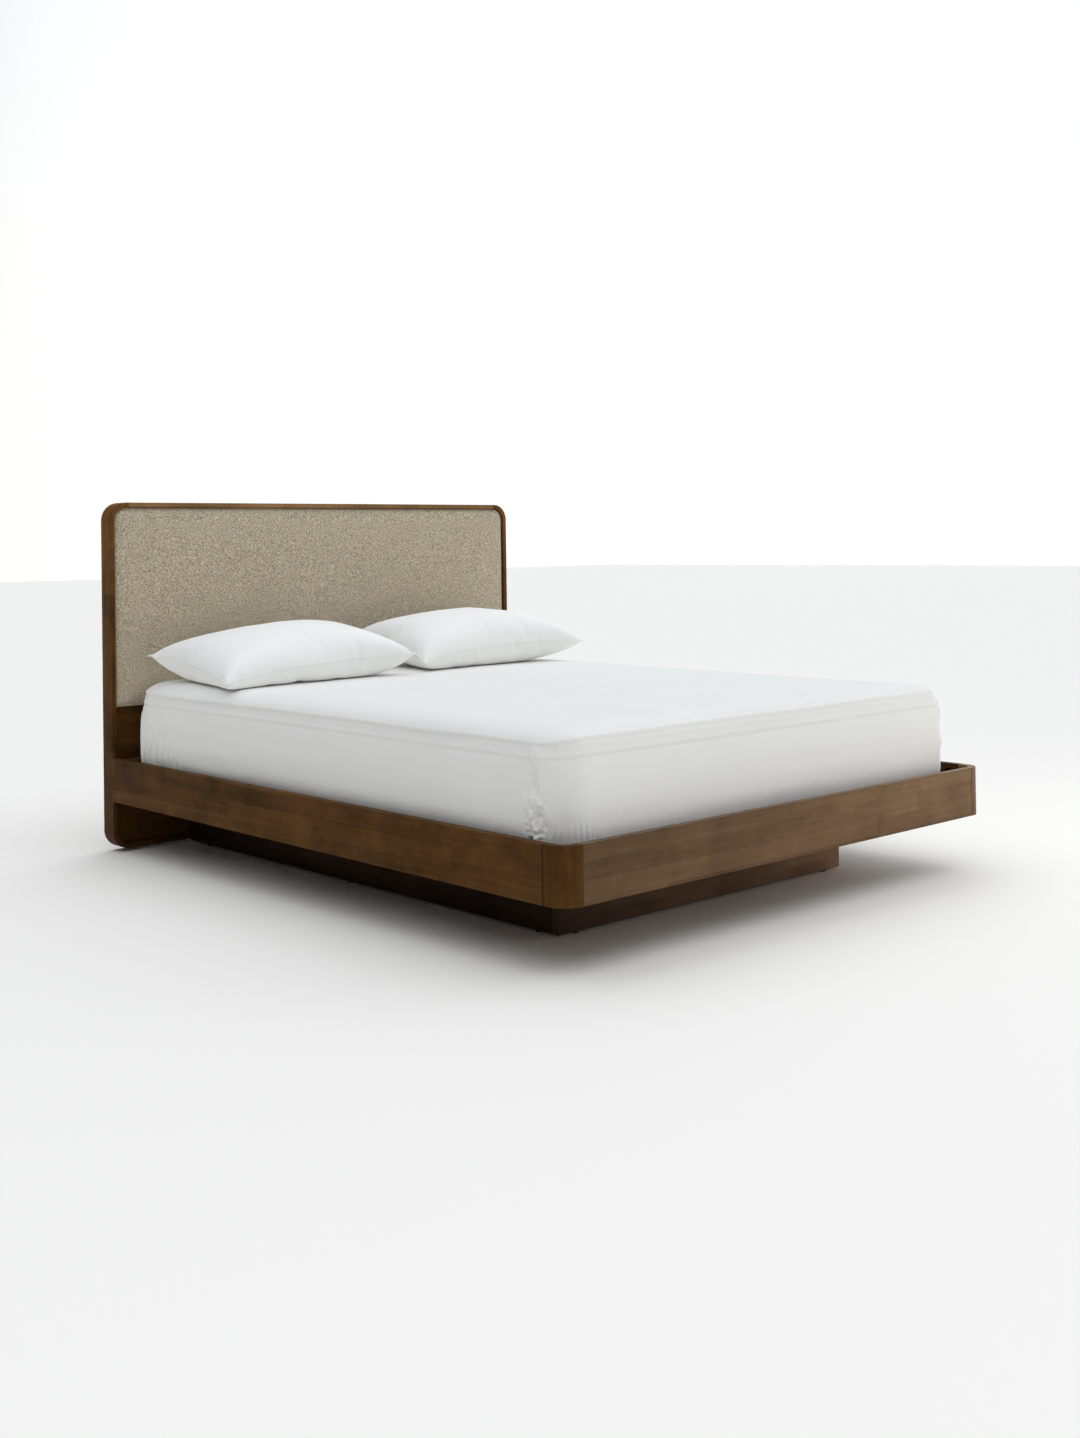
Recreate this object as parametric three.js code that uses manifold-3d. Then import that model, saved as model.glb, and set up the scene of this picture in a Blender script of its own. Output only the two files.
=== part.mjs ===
// A floating platform bed: a framed headboard with an upholstered pad, rails that overhang a
// recessed plinth, a slatted base, and the mattress, fitted sheet and pillows that lie on it.
// Millimetres. +X is to the right seen from the foot, +Y is towards the headboard, +Z is up.
// The origin is on the floor, under the middle of the bed.

import * as THREE from "three";
import { mergeVertices } from "three/addons/utils/BufferGeometryUtils.js";
import Module from "manifold-3d";

const wasm = await Module();
wasm.setup();

// ---- driving dimensions ----

const GAP = 0.3; // between pieces that touch
const OVERSHOOT = 1; // of a cutting tool past the face that it opens

const BED_WIDTH = 1660;
const RAIL_RUN = 2080; // front face of the headboard to the outer face of the foot rail
const FRAME_DEPTH = 62; // headboard frame, front to back
const LENGTH = RAIL_RUN + FRAME_DEPTH;

const GLIDE_HEIGHT = 5; // foot of a glide, screwed right in
const GLIDE_FOOT_RADIUS = 10;
const GLIDE_FOOT_CHAMFER = 1.5;
const GLIDE_STEM_RADIUS = 4;
const GLIDE_STEM_LENGTH = 34;
const GLIDE_HOLE_RADIUS = 4.5;
const GLIDE_HOLE_DEPTH = 40;
const SIDE_GLIDES = [113, 889, 1686]; // from the headboard
const FOOT_GLIDE_X = 493;

const BASE_Z = GLIDE_HEIGHT + GAP; // underside of the plinth
const RAIL_BOTTOM = BASE_Z + 157.3;
const RAIL_HEIGHT = 136;
const RAIL_THICKNESS = 22;
const RAIL_TOP = RAIL_BOTTOM + RAIL_HEIGHT;

const FOOT_CORNER_ALONG_SIDE = 68;
const FOOT_CORNER_ALONG_FOOT = 59;
const FOOT_CORNER_RADIUS = 54;

const HEADBOARD_BOTTOM = BASE_Z + 3;
const HEADBOARD_TOP = BASE_Z + 1102;
const FRAME_BAND = 15; // width of the frame seen from the front
const FRAME_RADIUS = 58;
const FRAME_CORNER_LEG = 65; // from the outside of the frame to a corner block's seam
const PANEL_RECESS = 30;
const PANEL_THICKNESS = 18;

const PAD_BOTTOM = BASE_Z + 452;
const PAD_PROUD = 5;
const PAD_BOARD_THICKNESS = 9;
const PAD_EDGE_ROUND = 9;
const PAD_BOTTOM_RADIUS = 15;
const PAD_BOARD_INSET = 12;
const PAD_ROUND_STEPS = 2;

const BATTEN_HEIGHT = 116;
const BATTEN_DROP = 10; // top of the batten below the rail's top edge

const PLINTH_SIDE_INSET = 271; // outside of the rail to outside of the plinth
const PLINTH_FOOT_INSET = 312;
const PLINTH_THICKNESS = 22;
const PLINTH_TOP = BASE_Z + 164.7;
const PLINTH_HEAD_SETBACK = 8; // between the headboard and the plinth's head board
const PLINTH_DIVIDER = 900; // middle of the divider, from the headboard

const BEAM_HEIGHT = 47;
const BEAM_WIDTH = 60;
const BEARER_HEIGHT = 45;
const BEARER_WIDTH = 45;
const BEARER_COUNT = 3;
const FIRST_BEARER = 300; // middle of the first bearer, from the headboard
const LAST_BEARER = 1690;
const BEAM_BOTTOM = PLINTH_TOP + GAP;
const BEAM_TOP = BEAM_BOTTOM + BEAM_HEIGHT;
const LEDGER_WIDTH = 30;
const LEDGER_HEIGHT = 35;

const SLAT_COUNT = 12;
const SLAT_WIDTH = 90;
const SLAT_THICKNESS = 18;
const SLAT_END_PLAY = 3; // between a slat's end and the rail
const FIRST_SLAT = 120; // middle of the first slat, from the headboard
const LAST_SLAT = 1975;
const SLAT_TOP = BEAM_TOP + GAP + SLAT_THICKNESS;

const POCKET_RADIUS = 17;
const POCKET_DEPTH = 14;
const POCKET_FROM_SEAM = 32;
const POCKET_BELOW_TOP = 30;
const BOLT_RADIUS = 3.5;
const BOLT_HEAD_RADIUS = 6.5;
const BOLT_HEAD_LENGTH = 7;
const BOLT_REACH = 28; // into the corner block
const BOLT_HOLE_PLAY = 0.5;
const BOLT_HEAD_START = 8.4; // from the pocket's middle, towards the corner block
const ROD_SIDES = 16;
const POCKET_SIDES = 32;

const BRACKET_LEG = 60;
const BRACKET_THICKNESS = 4;
const BRACKET_HEIGHT = 64;
const BRACKET_ABOVE_LEDGER = 4;
const BRACKET_BOLT = { radius: 4, headRadius: 7, headLength: 5, reach: 24 };

// The outside of the fitted sheet: left and right are x, head and foot are from the headboard.
const MATTRESS = { left: -785, right: 755, head: 14, foot: 2014 };
const MATTRESS_CORNER_RADIUS = 95;
const MATTRESS_EDGE_ROUND = 26;
const MATTRESS_ROUND_STEPS = 3;
const MATTRESS_HEIGHT = 300;
const SHEET_THICKNESS = 2;
const SHEET_CLEARANCE = 0.5;
const SHEET_RETURN = 90; // how far the hem reaches under the mattress
const SHEET_OPENING_RADIUS = 40;
const MATTRESS_SKIN = SHEET_THICKNESS + SHEET_CLEARANCE; // from the mattress to the outside of its sheet
const MATTRESS_WIDTH = MATTRESS.right - MATTRESS.left - 2 * MATTRESS_SKIN;
const MATTRESS_LENGTH = MATTRESS.foot - MATTRESS.head - 2 * MATTRESS_SKIN;
const MATTRESS_X = (MATTRESS.left + MATTRESS.right) / 2;
const MATTRESS_MIDDLE = (MATTRESS.head + MATTRESS.foot) / 2; // from the headboard
const MATTRESS_BOTTOM = SLAT_TOP + GAP + MATTRESS_SKIN;
const SHEET_TOP = MATTRESS_BOTTOM + MATTRESS_HEIGHT + MATTRESS_SKIN;

const PILLOW_CROWN = 92; // of the upper face above the seam
const PILLOW_BELLY = 84; // of the lower face below the seam
const PILLOW_WAIST = 26; // how far each side pulls in between its corners
const PILLOW_GRID = { along: 14, across: 10 };
const PILLOW_PLUMP_POWER = 0.6;
const PILLOW_CLEARANCE = 0.6;

// Seam corners of each pillow: x, distance from the headboard, height above the plinth's underside.
const PILLOWS = {
  pillow_left: {
    frontLeft: [-775, 592, 556],
    frontRight: [-66, 596, 610],
    backRight: [-48, 96, 648],
    backLeft: [-748, 84, 626],
  },
  pillow_right: {
    frontLeft: [8, 528, 566],
    frontRight: [706, 560, 597],
    backRight: [716, 88, 634],
    backLeft: [8, 74, 646],
  },
};

// ---- materials ----

const FINISHES = {
  walnut: { color: 0x5c452e, roughness: 0.5, metalness: 0 },
  espresso: { color: 0x2b1d14, roughness: 0.55, metalness: 0 },
  pine: { color: 0xcaa977, roughness: 0.7, metalness: 0 },
  tweed: { color: 0xa69a84, roughness: 0.95, metalness: 0 },
  ticking: { color: 0xe9e7e1, roughness: 0.9, metalness: 0 },
  cotton: { color: 0xf1f1ef, roughness: 0.85, metalness: 0 },
  steel: { color: 0x8d9094, roughness: 0.35, metalness: 1 },
  plastic: { color: 0x17130f, roughness: 0.6, metalness: 0 },
};

const bed = new THREE.Group();

function addPiece(name, geometry, finish, x = 0, y = 0, z = 0) {
  const mesh = new THREE.Mesh(geometry, new THREE.MeshStandardMaterial(FINISHES[finish]));
  mesh.name = name;
  mesh.position.set(x, y, z);
  bed.add(mesh);
  return mesh;
}

// ---- geometry helpers ----

const HALF_WIDTH = BED_WIDTH / 2;
const HEAD_Y = LENGTH / 2 - FRAME_DEPTH; // front face of the headboard
const FOOT_Y = -LENGTH / 2; // outer face of the foot rail
const RAIL_INSIDE = HALF_WIDTH - RAIL_THICKNESS;
const CURVE_STEPS = 5; // three.js makes twice this many straight steps in each arc of an outline
const SOFT_CURVE_STEPS = 3;
const MERGE_DISTANCE = 1e-3; // vertices closer than this become one
const SIDES = { left: -1, right: 1 };

function fromHead(distance) {
  return HEAD_Y - distance;
}

function evenly(count, first, last) {
  return Array.from({ length: count }, (_, i) => first + ((last - first) * i) / (count - 1));
}

// A box between two opposite corners, given as any two values on each axis.
function block([xa, xb], [ya, yb], [za, zb]) {
  const geometry = new THREE.BoxGeometry(Math.abs(xb - xa), Math.abs(yb - ya), Math.abs(zb - za));
  geometry.translate((xa + xb) / 2, (ya + yb) / 2, (za + zb) / 2);
  return geometry;
}

// A cylinder that runs from one point to another along one axis.
function rod(radius, from, to, sides = ROD_SIDES) {
  const start = new THREE.Vector3(...from);
  const end = new THREE.Vector3(...to);
  const geometry = new THREE.CylinderGeometry(radius, radius, start.distanceTo(end), sides);
  const direction = end.clone().sub(start).normalize();
  const turn = new THREE.Quaternion().setFromUnitVectors(new THREE.Vector3(0, 1, 0), direction);
  geometry.applyQuaternion(turn);
  const middle = start.add(end).multiplyScalar(0.5);
  geometry.translate(middle.x, middle.y, middle.z);
  return geometry;
}

function toSolid(geometry) {
  const bare = geometry.clone();
  bare.deleteAttribute("normal");
  bare.deleteAttribute("uv");
  const merged = mergeVertices(bare, MERGE_DISTANCE);
  const mesh = new wasm.Mesh({
    numProp: 3,
    vertProperties: new Float32Array(merged.attributes.position.array),
    triVerts: new Uint32Array(merged.index.array),
  });
  return new wasm.Manifold(mesh);
}

function toGeometry(solid) {
  const mesh = solid.getMesh();
  const geometry = new THREE.BufferGeometry();
  geometry.setAttribute("position", new THREE.BufferAttribute(new Float32Array(mesh.vertProperties), 3));
  geometry.setIndex(new THREE.BufferAttribute(new Uint32Array(mesh.triVerts), 1));
  geometry.computeVertexNormals();
  return geometry;
}

function cut(geometry, tools) {
  const solid = tools.reduce((left, tool) => left.subtract(toSolid(tool)), toSolid(geometry));
  return toGeometry(solid);
}

function join(geometries) {
  const solid = geometries.map(toSolid).reduce((sum, next) => sum.add(next));
  return toGeometry(solid);
}

// A rectangle about the origin. Its lower corners may have a radius of their own.
function roundedRectangle(width, height, upperRadius, lowerRadius = upperRadius) {
  const shape = new THREE.Shape();
  const corners = [
    [1, -1, lowerRadius, -90],
    [1, 1, upperRadius, 0],
    [-1, 1, upperRadius, 90],
    [-1, -1, lowerRadius, 180],
  ];
  for (const [sx, sy, radius, degrees] of corners) {
    const start = THREE.MathUtils.degToRad(degrees);
    const x = sx * (width / 2 - radius);
    const y = sy * (height / 2 - radius);
    shape.absarc(x, y, radius, start, start + Math.PI / 2, false);
  }
  return shape;
}

// A corner of a band, with its outside corner at the origin and its legs along -X and -Y.
function bandCorner(radius, band, legX, legY) {
  const shape = new THREE.Shape();
  shape.absarc(-radius, -radius, radius, Math.PI / 2, 0, true);
  shape.lineTo(0, -legY);
  shape.lineTo(-band, -legY);
  shape.absarc(-radius, -radius, radius - band, 0, Math.PI / 2, false);
  shape.lineTo(-legX, -band);
  shape.lineTo(-legX, 0);
  return shape;
}

function mirrored(shape, signX, signY) {
  const points = shape.getPoints(CURVE_STEPS);
  return new THREE.Shape(points.map((p) => new THREE.Vector2(p.x * signX, p.y * signY)));
}

// Extrudes an outline of the XZ plane from backY towards the foot.
function upright(shape, backY, depth, bevel = {}) {
  const settings = { depth, bevelEnabled: false, curveSegments: CURVE_STEPS, ...bevel };
  const geometry = new THREE.ExtrudeGeometry(shape, settings);
  geometry.rotateX(Math.PI / 2);
  geometry.translate(0, backY, 0);
  return geometry;
}

// A slab with rounded edges, whose widest outline is the given shape.
function softSlab(shape, thickness, round, segments) {
  const geometry = new THREE.ExtrudeGeometry(shape, {
    depth: thickness - 2 * round,
    bevelThickness: round,
    bevelSize: round,
    bevelOffset: -round,
    bevelSegments: segments,
    curveSegments: SOFT_CURVE_STEPS,
  });
  geometry.translate(0, 0, round);
  return geometry;
}

// ---- headboard ----

function addHeadboard() {
  const middleZ = (HEADBOARD_BOTTOM + HEADBOARD_TOP) / 2;
  const height = HEADBOARD_TOP - HEADBOARD_BOTTOM;
  const backY = HEAD_Y + FRAME_DEPTH;
  const depth = [HEAD_Y, backY];
  const stileZ = [HEADBOARD_BOTTOM + FRAME_CORNER_LEG + GAP, HEADBOARD_TOP - FRAME_CORNER_LEG - GAP];
  const crossX = [-HALF_WIDTH + FRAME_CORNER_LEG + GAP, HALF_WIDTH - FRAME_CORNER_LEG - GAP];

  const corner = bandCorner(FRAME_RADIUS, FRAME_BAND, FRAME_CORNER_LEG, FRAME_CORNER_LEG);
  for (const [side, sign] of Object.entries(SIDES)) {
    const stileX = [sign * HALF_WIDTH, sign * (HALF_WIDTH - FRAME_BAND)];
    addPiece(`headboard_stile_${side}`, block(stileX, depth, stileZ), "walnut");
    for (const [level, up, z] of [["top", 1, HEADBOARD_TOP], ["bottom", -1, HEADBOARD_BOTTOM]]) {
      const geometry = upright(mirrored(corner, sign, up), backY, FRAME_DEPTH);
      addPiece(`headboard_corner_${level}_${side}`, geometry, "walnut", sign * HALF_WIDTH, 0, z);
    }
  }
  const topZ = [HEADBOARD_TOP - FRAME_BAND, HEADBOARD_TOP];
  addPiece("headboard_top_rail", block(crossX, depth, topZ), "walnut");
  const bottomZ = [HEADBOARD_BOTTOM, HEADBOARD_BOTTOM + FRAME_BAND];
  addPiece("headboard_bottom_rail", block(crossX, depth, bottomZ), "walnut");

  const insideWidth = BED_WIDTH - 2 * (FRAME_BAND + GAP);
  const insideHeight = height - 2 * (FRAME_BAND + GAP);
  const insideRadius = FRAME_RADIUS - FRAME_BAND - GAP;
  const panelBack = HEAD_Y + PANEL_RECESS + PANEL_THICKNESS;
  const panelShape = roundedRectangle(insideWidth, insideHeight, insideRadius);
  addPiece("headboard_panel", upright(panelShape, panelBack, PANEL_THICKNESS), "walnut", 0, 0, middleZ);

  const battenX = [-insideWidth / 2, insideWidth / 2];
  const battenY = [HEAD_Y, HEAD_Y + PANEL_RECESS - GAP];
  const battenTop = RAIL_TOP - BATTEN_DROP;
  const batten = block(battenX, battenY, [battenTop - BATTEN_HEIGHT, battenTop]);
  const holes = Object.values(SIDES).map((sign) => bracketBoltHole(sign));
  addPiece("headboard_mounting_batten", cut(batten, holes), "pine");

  const padTop = HEADBOARD_TOP - FRAME_BAND - GAP;
  const padHeight = padTop - PAD_BOTTOM;
  const padMiddle = (padTop + PAD_BOTTOM) / 2;
  const boardBack = HEAD_Y + PANEL_RECESS - GAP;
  const boardWidth = insideWidth - 2 * PAD_BOARD_INSET;
  const boardHeight = padHeight - 2 * PAD_BOARD_INSET;
  const boardRadius = insideRadius - PAD_BOARD_INSET;
  const boardShape = roundedRectangle(boardWidth, boardHeight, boardRadius);
  const board = upright(boardShape, boardBack, PAD_BOARD_THICKNESS);
  addPiece("pad_backing_board", board, "pine", 0, 0, padMiddle);

  const padBack = boardBack - PAD_BOARD_THICKNESS - GAP;
  const padDepth = padBack - (HEAD_Y - PAD_PROUD);
  const pad = softSlab(
    roundedRectangle(insideWidth, padHeight, insideRadius, PAD_BOTTOM_RADIUS),
    padDepth,
    PAD_EDGE_ROUND,
    PAD_ROUND_STEPS,
  );
  pad.rotateX(Math.PI / 2);
  addPiece("upholstered_pad", pad, "tweed", 0, padBack, padMiddle);
}

// ---- rails ----

function pocketZ() {
  return RAIL_TOP - POCKET_BELOW_TOP;
}

// The draw bolt of one foot corner joint lies in a pocket of the rail and reaches into the corner
// block. along is the bolt's direction, and seam is the end of the rail on the bolt's line.
function drawBolt(seam, along) {
  const point = (distance) => seam.map((value, axis) => value + along[axis] * distance);
  const headStart = -POCKET_FROM_SEAM + BOLT_HEAD_START;
  const shank = rod(BOLT_RADIUS, point(headStart), point(BOLT_REACH));
  const head = rod(BOLT_HEAD_RADIUS, point(headStart), point(headStart + BOLT_HEAD_LENGTH));
  const holeEnd = point(BOLT_REACH + BOLT_HOLE_PLAY);
  const hole = rod(BOLT_RADIUS + BOLT_HOLE_PLAY, point(-POCKET_FROM_SEAM), holeEnd);
  return { bolt: join([shank, head]), hole };
}

function footCornerJoints(sign) {
  const sideX = sign * (RAIL_INSIDE + POCKET_DEPTH / 2);
  const footX = sign * (HALF_WIDTH - FOOT_CORNER_ALONG_FOOT);
  const footY = FOOT_Y + RAIL_THICKNESS - POCKET_DEPTH / 2;
  return {
    side: drawBolt([sideX, FOOT_Y + FOOT_CORNER_ALONG_SIDE, pocketZ()], [0, -1, 0]),
    foot: drawBolt([footX, footY, pocketZ()], [sign, 0, 0]),
  };
}

function addRails() {
  const railZ = [RAIL_BOTTOM, RAIL_TOP];
  const footTools = [];
  for (const [side, sign] of Object.entries(SIDES)) {
    const joints = footCornerJoints(sign);
    const pocketY = FOOT_Y + FOOT_CORNER_ALONG_SIDE + POCKET_FROM_SEAM;
    const sidePocket = rod(
      POCKET_RADIUS,
      [sign * (RAIL_INSIDE - OVERSHOOT), pocketY, pocketZ()],
      [sign * (RAIL_INSIDE + POCKET_DEPTH), pocketY, pocketZ()],
      POCKET_SIDES,
    );
    const sideRail = block(
      [sign * RAIL_INSIDE, sign * HALF_WIDTH],
      [FOOT_Y + FOOT_CORNER_ALONG_SIDE + GAP, HEAD_Y - GAP],
      railZ,
    );
    addPiece(`side_rail_${side}`, cut(sideRail, [sidePocket, joints.side.hole]), "walnut");

    const plan = mirrored(
      bandCorner(FOOT_CORNER_RADIUS, RAIL_THICKNESS, FOOT_CORNER_ALONG_FOOT, FOOT_CORNER_ALONG_SIDE),
      sign,
      -1,
    );
    const corner = new THREE.ExtrudeGeometry(plan, { depth: RAIL_HEIGHT, bevelEnabled: false });
    corner.translate(sign * HALF_WIDTH, FOOT_Y, RAIL_BOTTOM);
    addPiece(`foot_corner_${side}`, cut(corner, [joints.side.hole, joints.foot.hole]), "walnut");

    addPiece(`side_corner_bolt_${side}`, joints.side.bolt, "steel");
    addPiece(`foot_corner_bolt_${side}`, joints.foot.bolt, "steel");

    const pocketX = sign * (HALF_WIDTH - FOOT_CORNER_ALONG_FOOT - POCKET_FROM_SEAM);
    const footPocket = rod(
      POCKET_RADIUS,
      [pocketX, FOOT_Y + RAIL_THICKNESS + OVERSHOOT, pocketZ()],
      [pocketX, FOOT_Y + RAIL_THICKNESS - POCKET_DEPTH, pocketZ()],
      POCKET_SIDES,
    );
    footTools.push(footPocket, joints.foot.hole);
  }
  const footEnd = HALF_WIDTH - FOOT_CORNER_ALONG_FOOT - GAP;
  const footRail = block([-footEnd, footEnd], [FOOT_Y, FOOT_Y + RAIL_THICKNESS], railZ);
  addPiece("foot_rail", cut(footRail, footTools), "walnut");
}

// ---- brackets that hold the side rails to the headboard ----

function bracketMiddleZ() {
  return BEAM_TOP + BRACKET_ABOVE_LEDGER + BRACKET_HEIGHT / 2;
}

function bracketBoltX(sign) {
  return sign * (RAIL_INSIDE - GAP - BRACKET_THICKNESS - BRACKET_LEG / 2);
}

function bracketBoltHole(sign) {
  const x = bracketBoltX(sign);
  const z = bracketMiddleZ();
  const outside = HEAD_Y - BRACKET_THICKNESS - OVERSHOOT;
  const bottom = HEAD_Y + BRACKET_BOLT.reach + BOLT_HOLE_PLAY;
  return rod(BRACKET_BOLT.radius + BOLT_HOLE_PLAY, [x, outside, z], [x, bottom, z]);
}

function addBrackets() {
  const z = [bracketMiddleZ() - BRACKET_HEIGHT / 2, bracketMiddleZ() + BRACKET_HEIGHT / 2];
  for (const [side, sign] of Object.entries(SIDES)) {
    const face = sign * (RAIL_INSIDE - GAP);
    const back = HEAD_Y - GAP;
    const front = back - BRACKET_THICKNESS;
    const railLeg = block([face, face - sign * BRACKET_THICKNESS], [back, back - BRACKET_LEG], z);
    const headLeg = block([face, face - sign * BRACKET_LEG], [back, front], z);
    addPiece(`rail_bracket_${side}`, cut(join([railLeg, headLeg]), [bracketBoltHole(sign)]), "steel");

    const x = bracketBoltX(sign);
    const headBack = front - GAP;
    const axis = (y) => [x, y, bracketMiddleZ()];
    const headFront = headBack - BRACKET_BOLT.headLength;
    const shank = rod(BRACKET_BOLT.radius, axis(headFront), axis(HEAD_Y + BRACKET_BOLT.reach));
    const head = rod(BRACKET_BOLT.headRadius, axis(headFront), axis(headBack));
    addPiece(`bracket_bolt_${side}`, join([shank, head]), "steel");
  }
}

// ---- slatted base ----

function addBase() {
  const ledgerZ = [BEAM_TOP - LEDGER_HEIGHT, BEAM_TOP];
  const ledgerY = [HEAD_Y - GAP, FOOT_Y + FOOT_CORNER_ALONG_SIDE];
  for (const [side, sign] of Object.entries(SIDES)) {
    const outside = sign * (RAIL_INSIDE - GAP);
    const ledgerX = [outside, outside - sign * LEDGER_WIDTH];
    addPiece(`slat_ledger_${side}`, block(ledgerX, ledgerY, ledgerZ), "pine");
  }

  // Each bearer and the beam are notched to half the bearer's height where they cross.
  const lapZ = BEAM_BOTTOM + BEARER_HEIGHT / 2;
  const bearerTop = BEAM_BOTTOM + BEARER_HEIGHT;
  const bearerEnd = RAIL_INSIDE - LEDGER_WIDTH - 2 * GAP;
  const notchX = [-BEAM_WIDTH / 2 - GAP, BEAM_WIDTH / 2 + GAP];
  const upperZ = [lapZ - GAP / 2, bearerTop + OVERSHOOT];
  const lowerZ = [BEAM_BOTTOM - OVERSHOOT, lapZ + GAP / 2];
  const beamTools = [];
  evenly(BEARER_COUNT, FIRST_BEARER, LAST_BEARER).forEach((distance, i) => {
    const y = fromHead(distance);
    const around = (margin) => [y - BEARER_WIDTH / 2 - margin, y + BEARER_WIDTH / 2 + margin];
    const bearer = block([-bearerEnd, bearerEnd], around(0), [BEAM_BOTTOM, bearerTop]);
    const notch = block(notchX, around(OVERSHOOT), upperZ);
    addPiece(`cross_bearer_${i + 1}`, cut(bearer, [notch]), "pine");
    beamTools.push(block([-BEAM_WIDTH, BEAM_WIDTH], around(GAP), lowerZ));
  });
  const beamY = [HEAD_Y - GAP, FOOT_Y + RAIL_THICKNESS + GAP];
  const beam = block([-BEAM_WIDTH / 2, BEAM_WIDTH / 2], beamY, [BEAM_BOTTOM, BEAM_TOP]);
  addPiece("centre_beam", cut(beam, beamTools), "pine");

  const slatEnd = RAIL_INSIDE - SLAT_END_PLAY;
  const slatZ = [BEAM_TOP + GAP, SLAT_TOP];
  evenly(SLAT_COUNT, FIRST_SLAT, LAST_SLAT).forEach((distance, i) => {
    const y = fromHead(distance);
    const slat = block([-slatEnd, slatEnd], [y - SLAT_WIDTH / 2, y + SLAT_WIDTH / 2], slatZ);
    addPiece(`slat_${String(i + 1).padStart(2, "0")}`, slat, "pine");
  });
}

// ---- plinth and its levelling glides ----

function glideHole([x, y]) {
  return rod(GLIDE_HOLE_RADIUS, [x, y, BASE_Z - OVERSHOOT], [x, y, BASE_Z + GLIDE_HOLE_DEPTH]);
}

function glideGeometry() {
  const profile = [
    [0, 0],
    [GLIDE_FOOT_RADIUS - GLIDE_FOOT_CHAMFER, 0],
    [GLIDE_FOOT_RADIUS, GLIDE_FOOT_CHAMFER],
    [GLIDE_FOOT_RADIUS, GLIDE_HEIGHT - GLIDE_FOOT_CHAMFER],
    [GLIDE_FOOT_RADIUS - GLIDE_FOOT_CHAMFER, GLIDE_HEIGHT],
    [GLIDE_STEM_RADIUS, GLIDE_HEIGHT],
    [GLIDE_STEM_RADIUS, GLIDE_HEIGHT + GLIDE_STEM_LENGTH],
    [0, GLIDE_HEIGHT + GLIDE_STEM_LENGTH],
  ];
  const geometry = new THREE.LatheGeometry(profile.map((p) => new THREE.Vector2(...p)), ROD_SIDES);
  geometry.rotateX(Math.PI / 2);
  return geometry;
}

function addPlinth() {
  const outerX = HALF_WIDTH - PLINTH_SIDE_INSET;
  const footY = FOOT_Y + PLINTH_FOOT_INSET;
  const z = [BASE_Z, PLINTH_TOP];
  const glideLine = outerX - PLINTH_THICKNESS / 2;
  const sideY = [footY + PLINTH_THICKNESS + GAP, HEAD_Y - GAP];
  const footHoles = [];

  for (const [side, sign] of Object.entries(SIDES)) {
    const places = SIDE_GLIDES.map((distance) => [sign * glideLine, fromHead(distance)]);
    const board = block([sign * outerX, sign * (outerX - PLINTH_THICKNESS)], sideY, z);
    addPiece(`plinth_side_${side}`, cut(board, places.map(glideHole)), "espresso");
    places.forEach(([x, y], i) => addPiece(`glide_${side}_${i + 1}`, glideGeometry(), "plastic", x, y));

    const footPlace = [sign * FOOT_GLIDE_X, footY + PLINTH_THICKNESS / 2];
    addPiece(`glide_foot_${side}`, glideGeometry(), "plastic", ...footPlace);
    footHoles.push(glideHole(footPlace));
  }
  const footBoard = block([-outerX, outerX], [footY, footY + PLINTH_THICKNESS], z);
  addPiece("plinth_foot", cut(footBoard, footHoles), "espresso");

  const innerX = outerX - PLINTH_THICKNESS - GAP;
  const headY = HEAD_Y - PLINTH_HEAD_SETBACK;
  addPiece("plinth_head", block([-innerX, innerX], [headY - PLINTH_THICKNESS, headY], z), "espresso");
  const dividerY = fromHead(PLINTH_DIVIDER);
  const dividerSpan = [dividerY - PLINTH_THICKNESS / 2, dividerY + PLINTH_THICKNESS / 2];
  addPiece("plinth_divider", block([-innerX, innerX], dividerSpan, z), "espresso");
}

// ---- bedding ----

// The mattress's plan, grown by some distance all round.
function mattressPlan(grow) {
  const radius = Math.max(MATTRESS_CORNER_RADIUS - MATTRESS_SKIN + grow, SHEET_OPENING_RADIUS);
  return roundedRectangle(MATTRESS_WIDTH + 2 * grow, MATTRESS_LENGTH + 2 * grow, radius);
}

function mattressSlab(grow) {
  const thickness = MATTRESS_HEIGHT + 2 * grow;
  const slab = softSlab(mattressPlan(grow), thickness, MATTRESS_EDGE_ROUND, MATTRESS_ROUND_STEPS);
  slab.translate(MATTRESS_X, fromHead(MATTRESS_MIDDLE), MATTRESS_BOTTOM - grow);
  return slab;
}

// A fitted sheet: a skin over the mattress, with a hem that turns in under it all round.
function fittedSheet() {
  const outside = mattressSlab(MATTRESS_SKIN);
  const inside = mattressSlab(SHEET_CLEARANCE);
  const opening = new THREE.ExtrudeGeometry(mattressPlan(-SHEET_RETURN), {
    depth: MATTRESS_HEIGHT,
    bevelEnabled: false,
    curveSegments: SOFT_CURVE_STEPS,
  });
  opening.translate(MATTRESS_X, fromHead(MATTRESS_MIDDLE), MATTRESS_BOTTOM - MATTRESS_HEIGHT / 2);
  return cut(outside, [inside, opening]);
}

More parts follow.
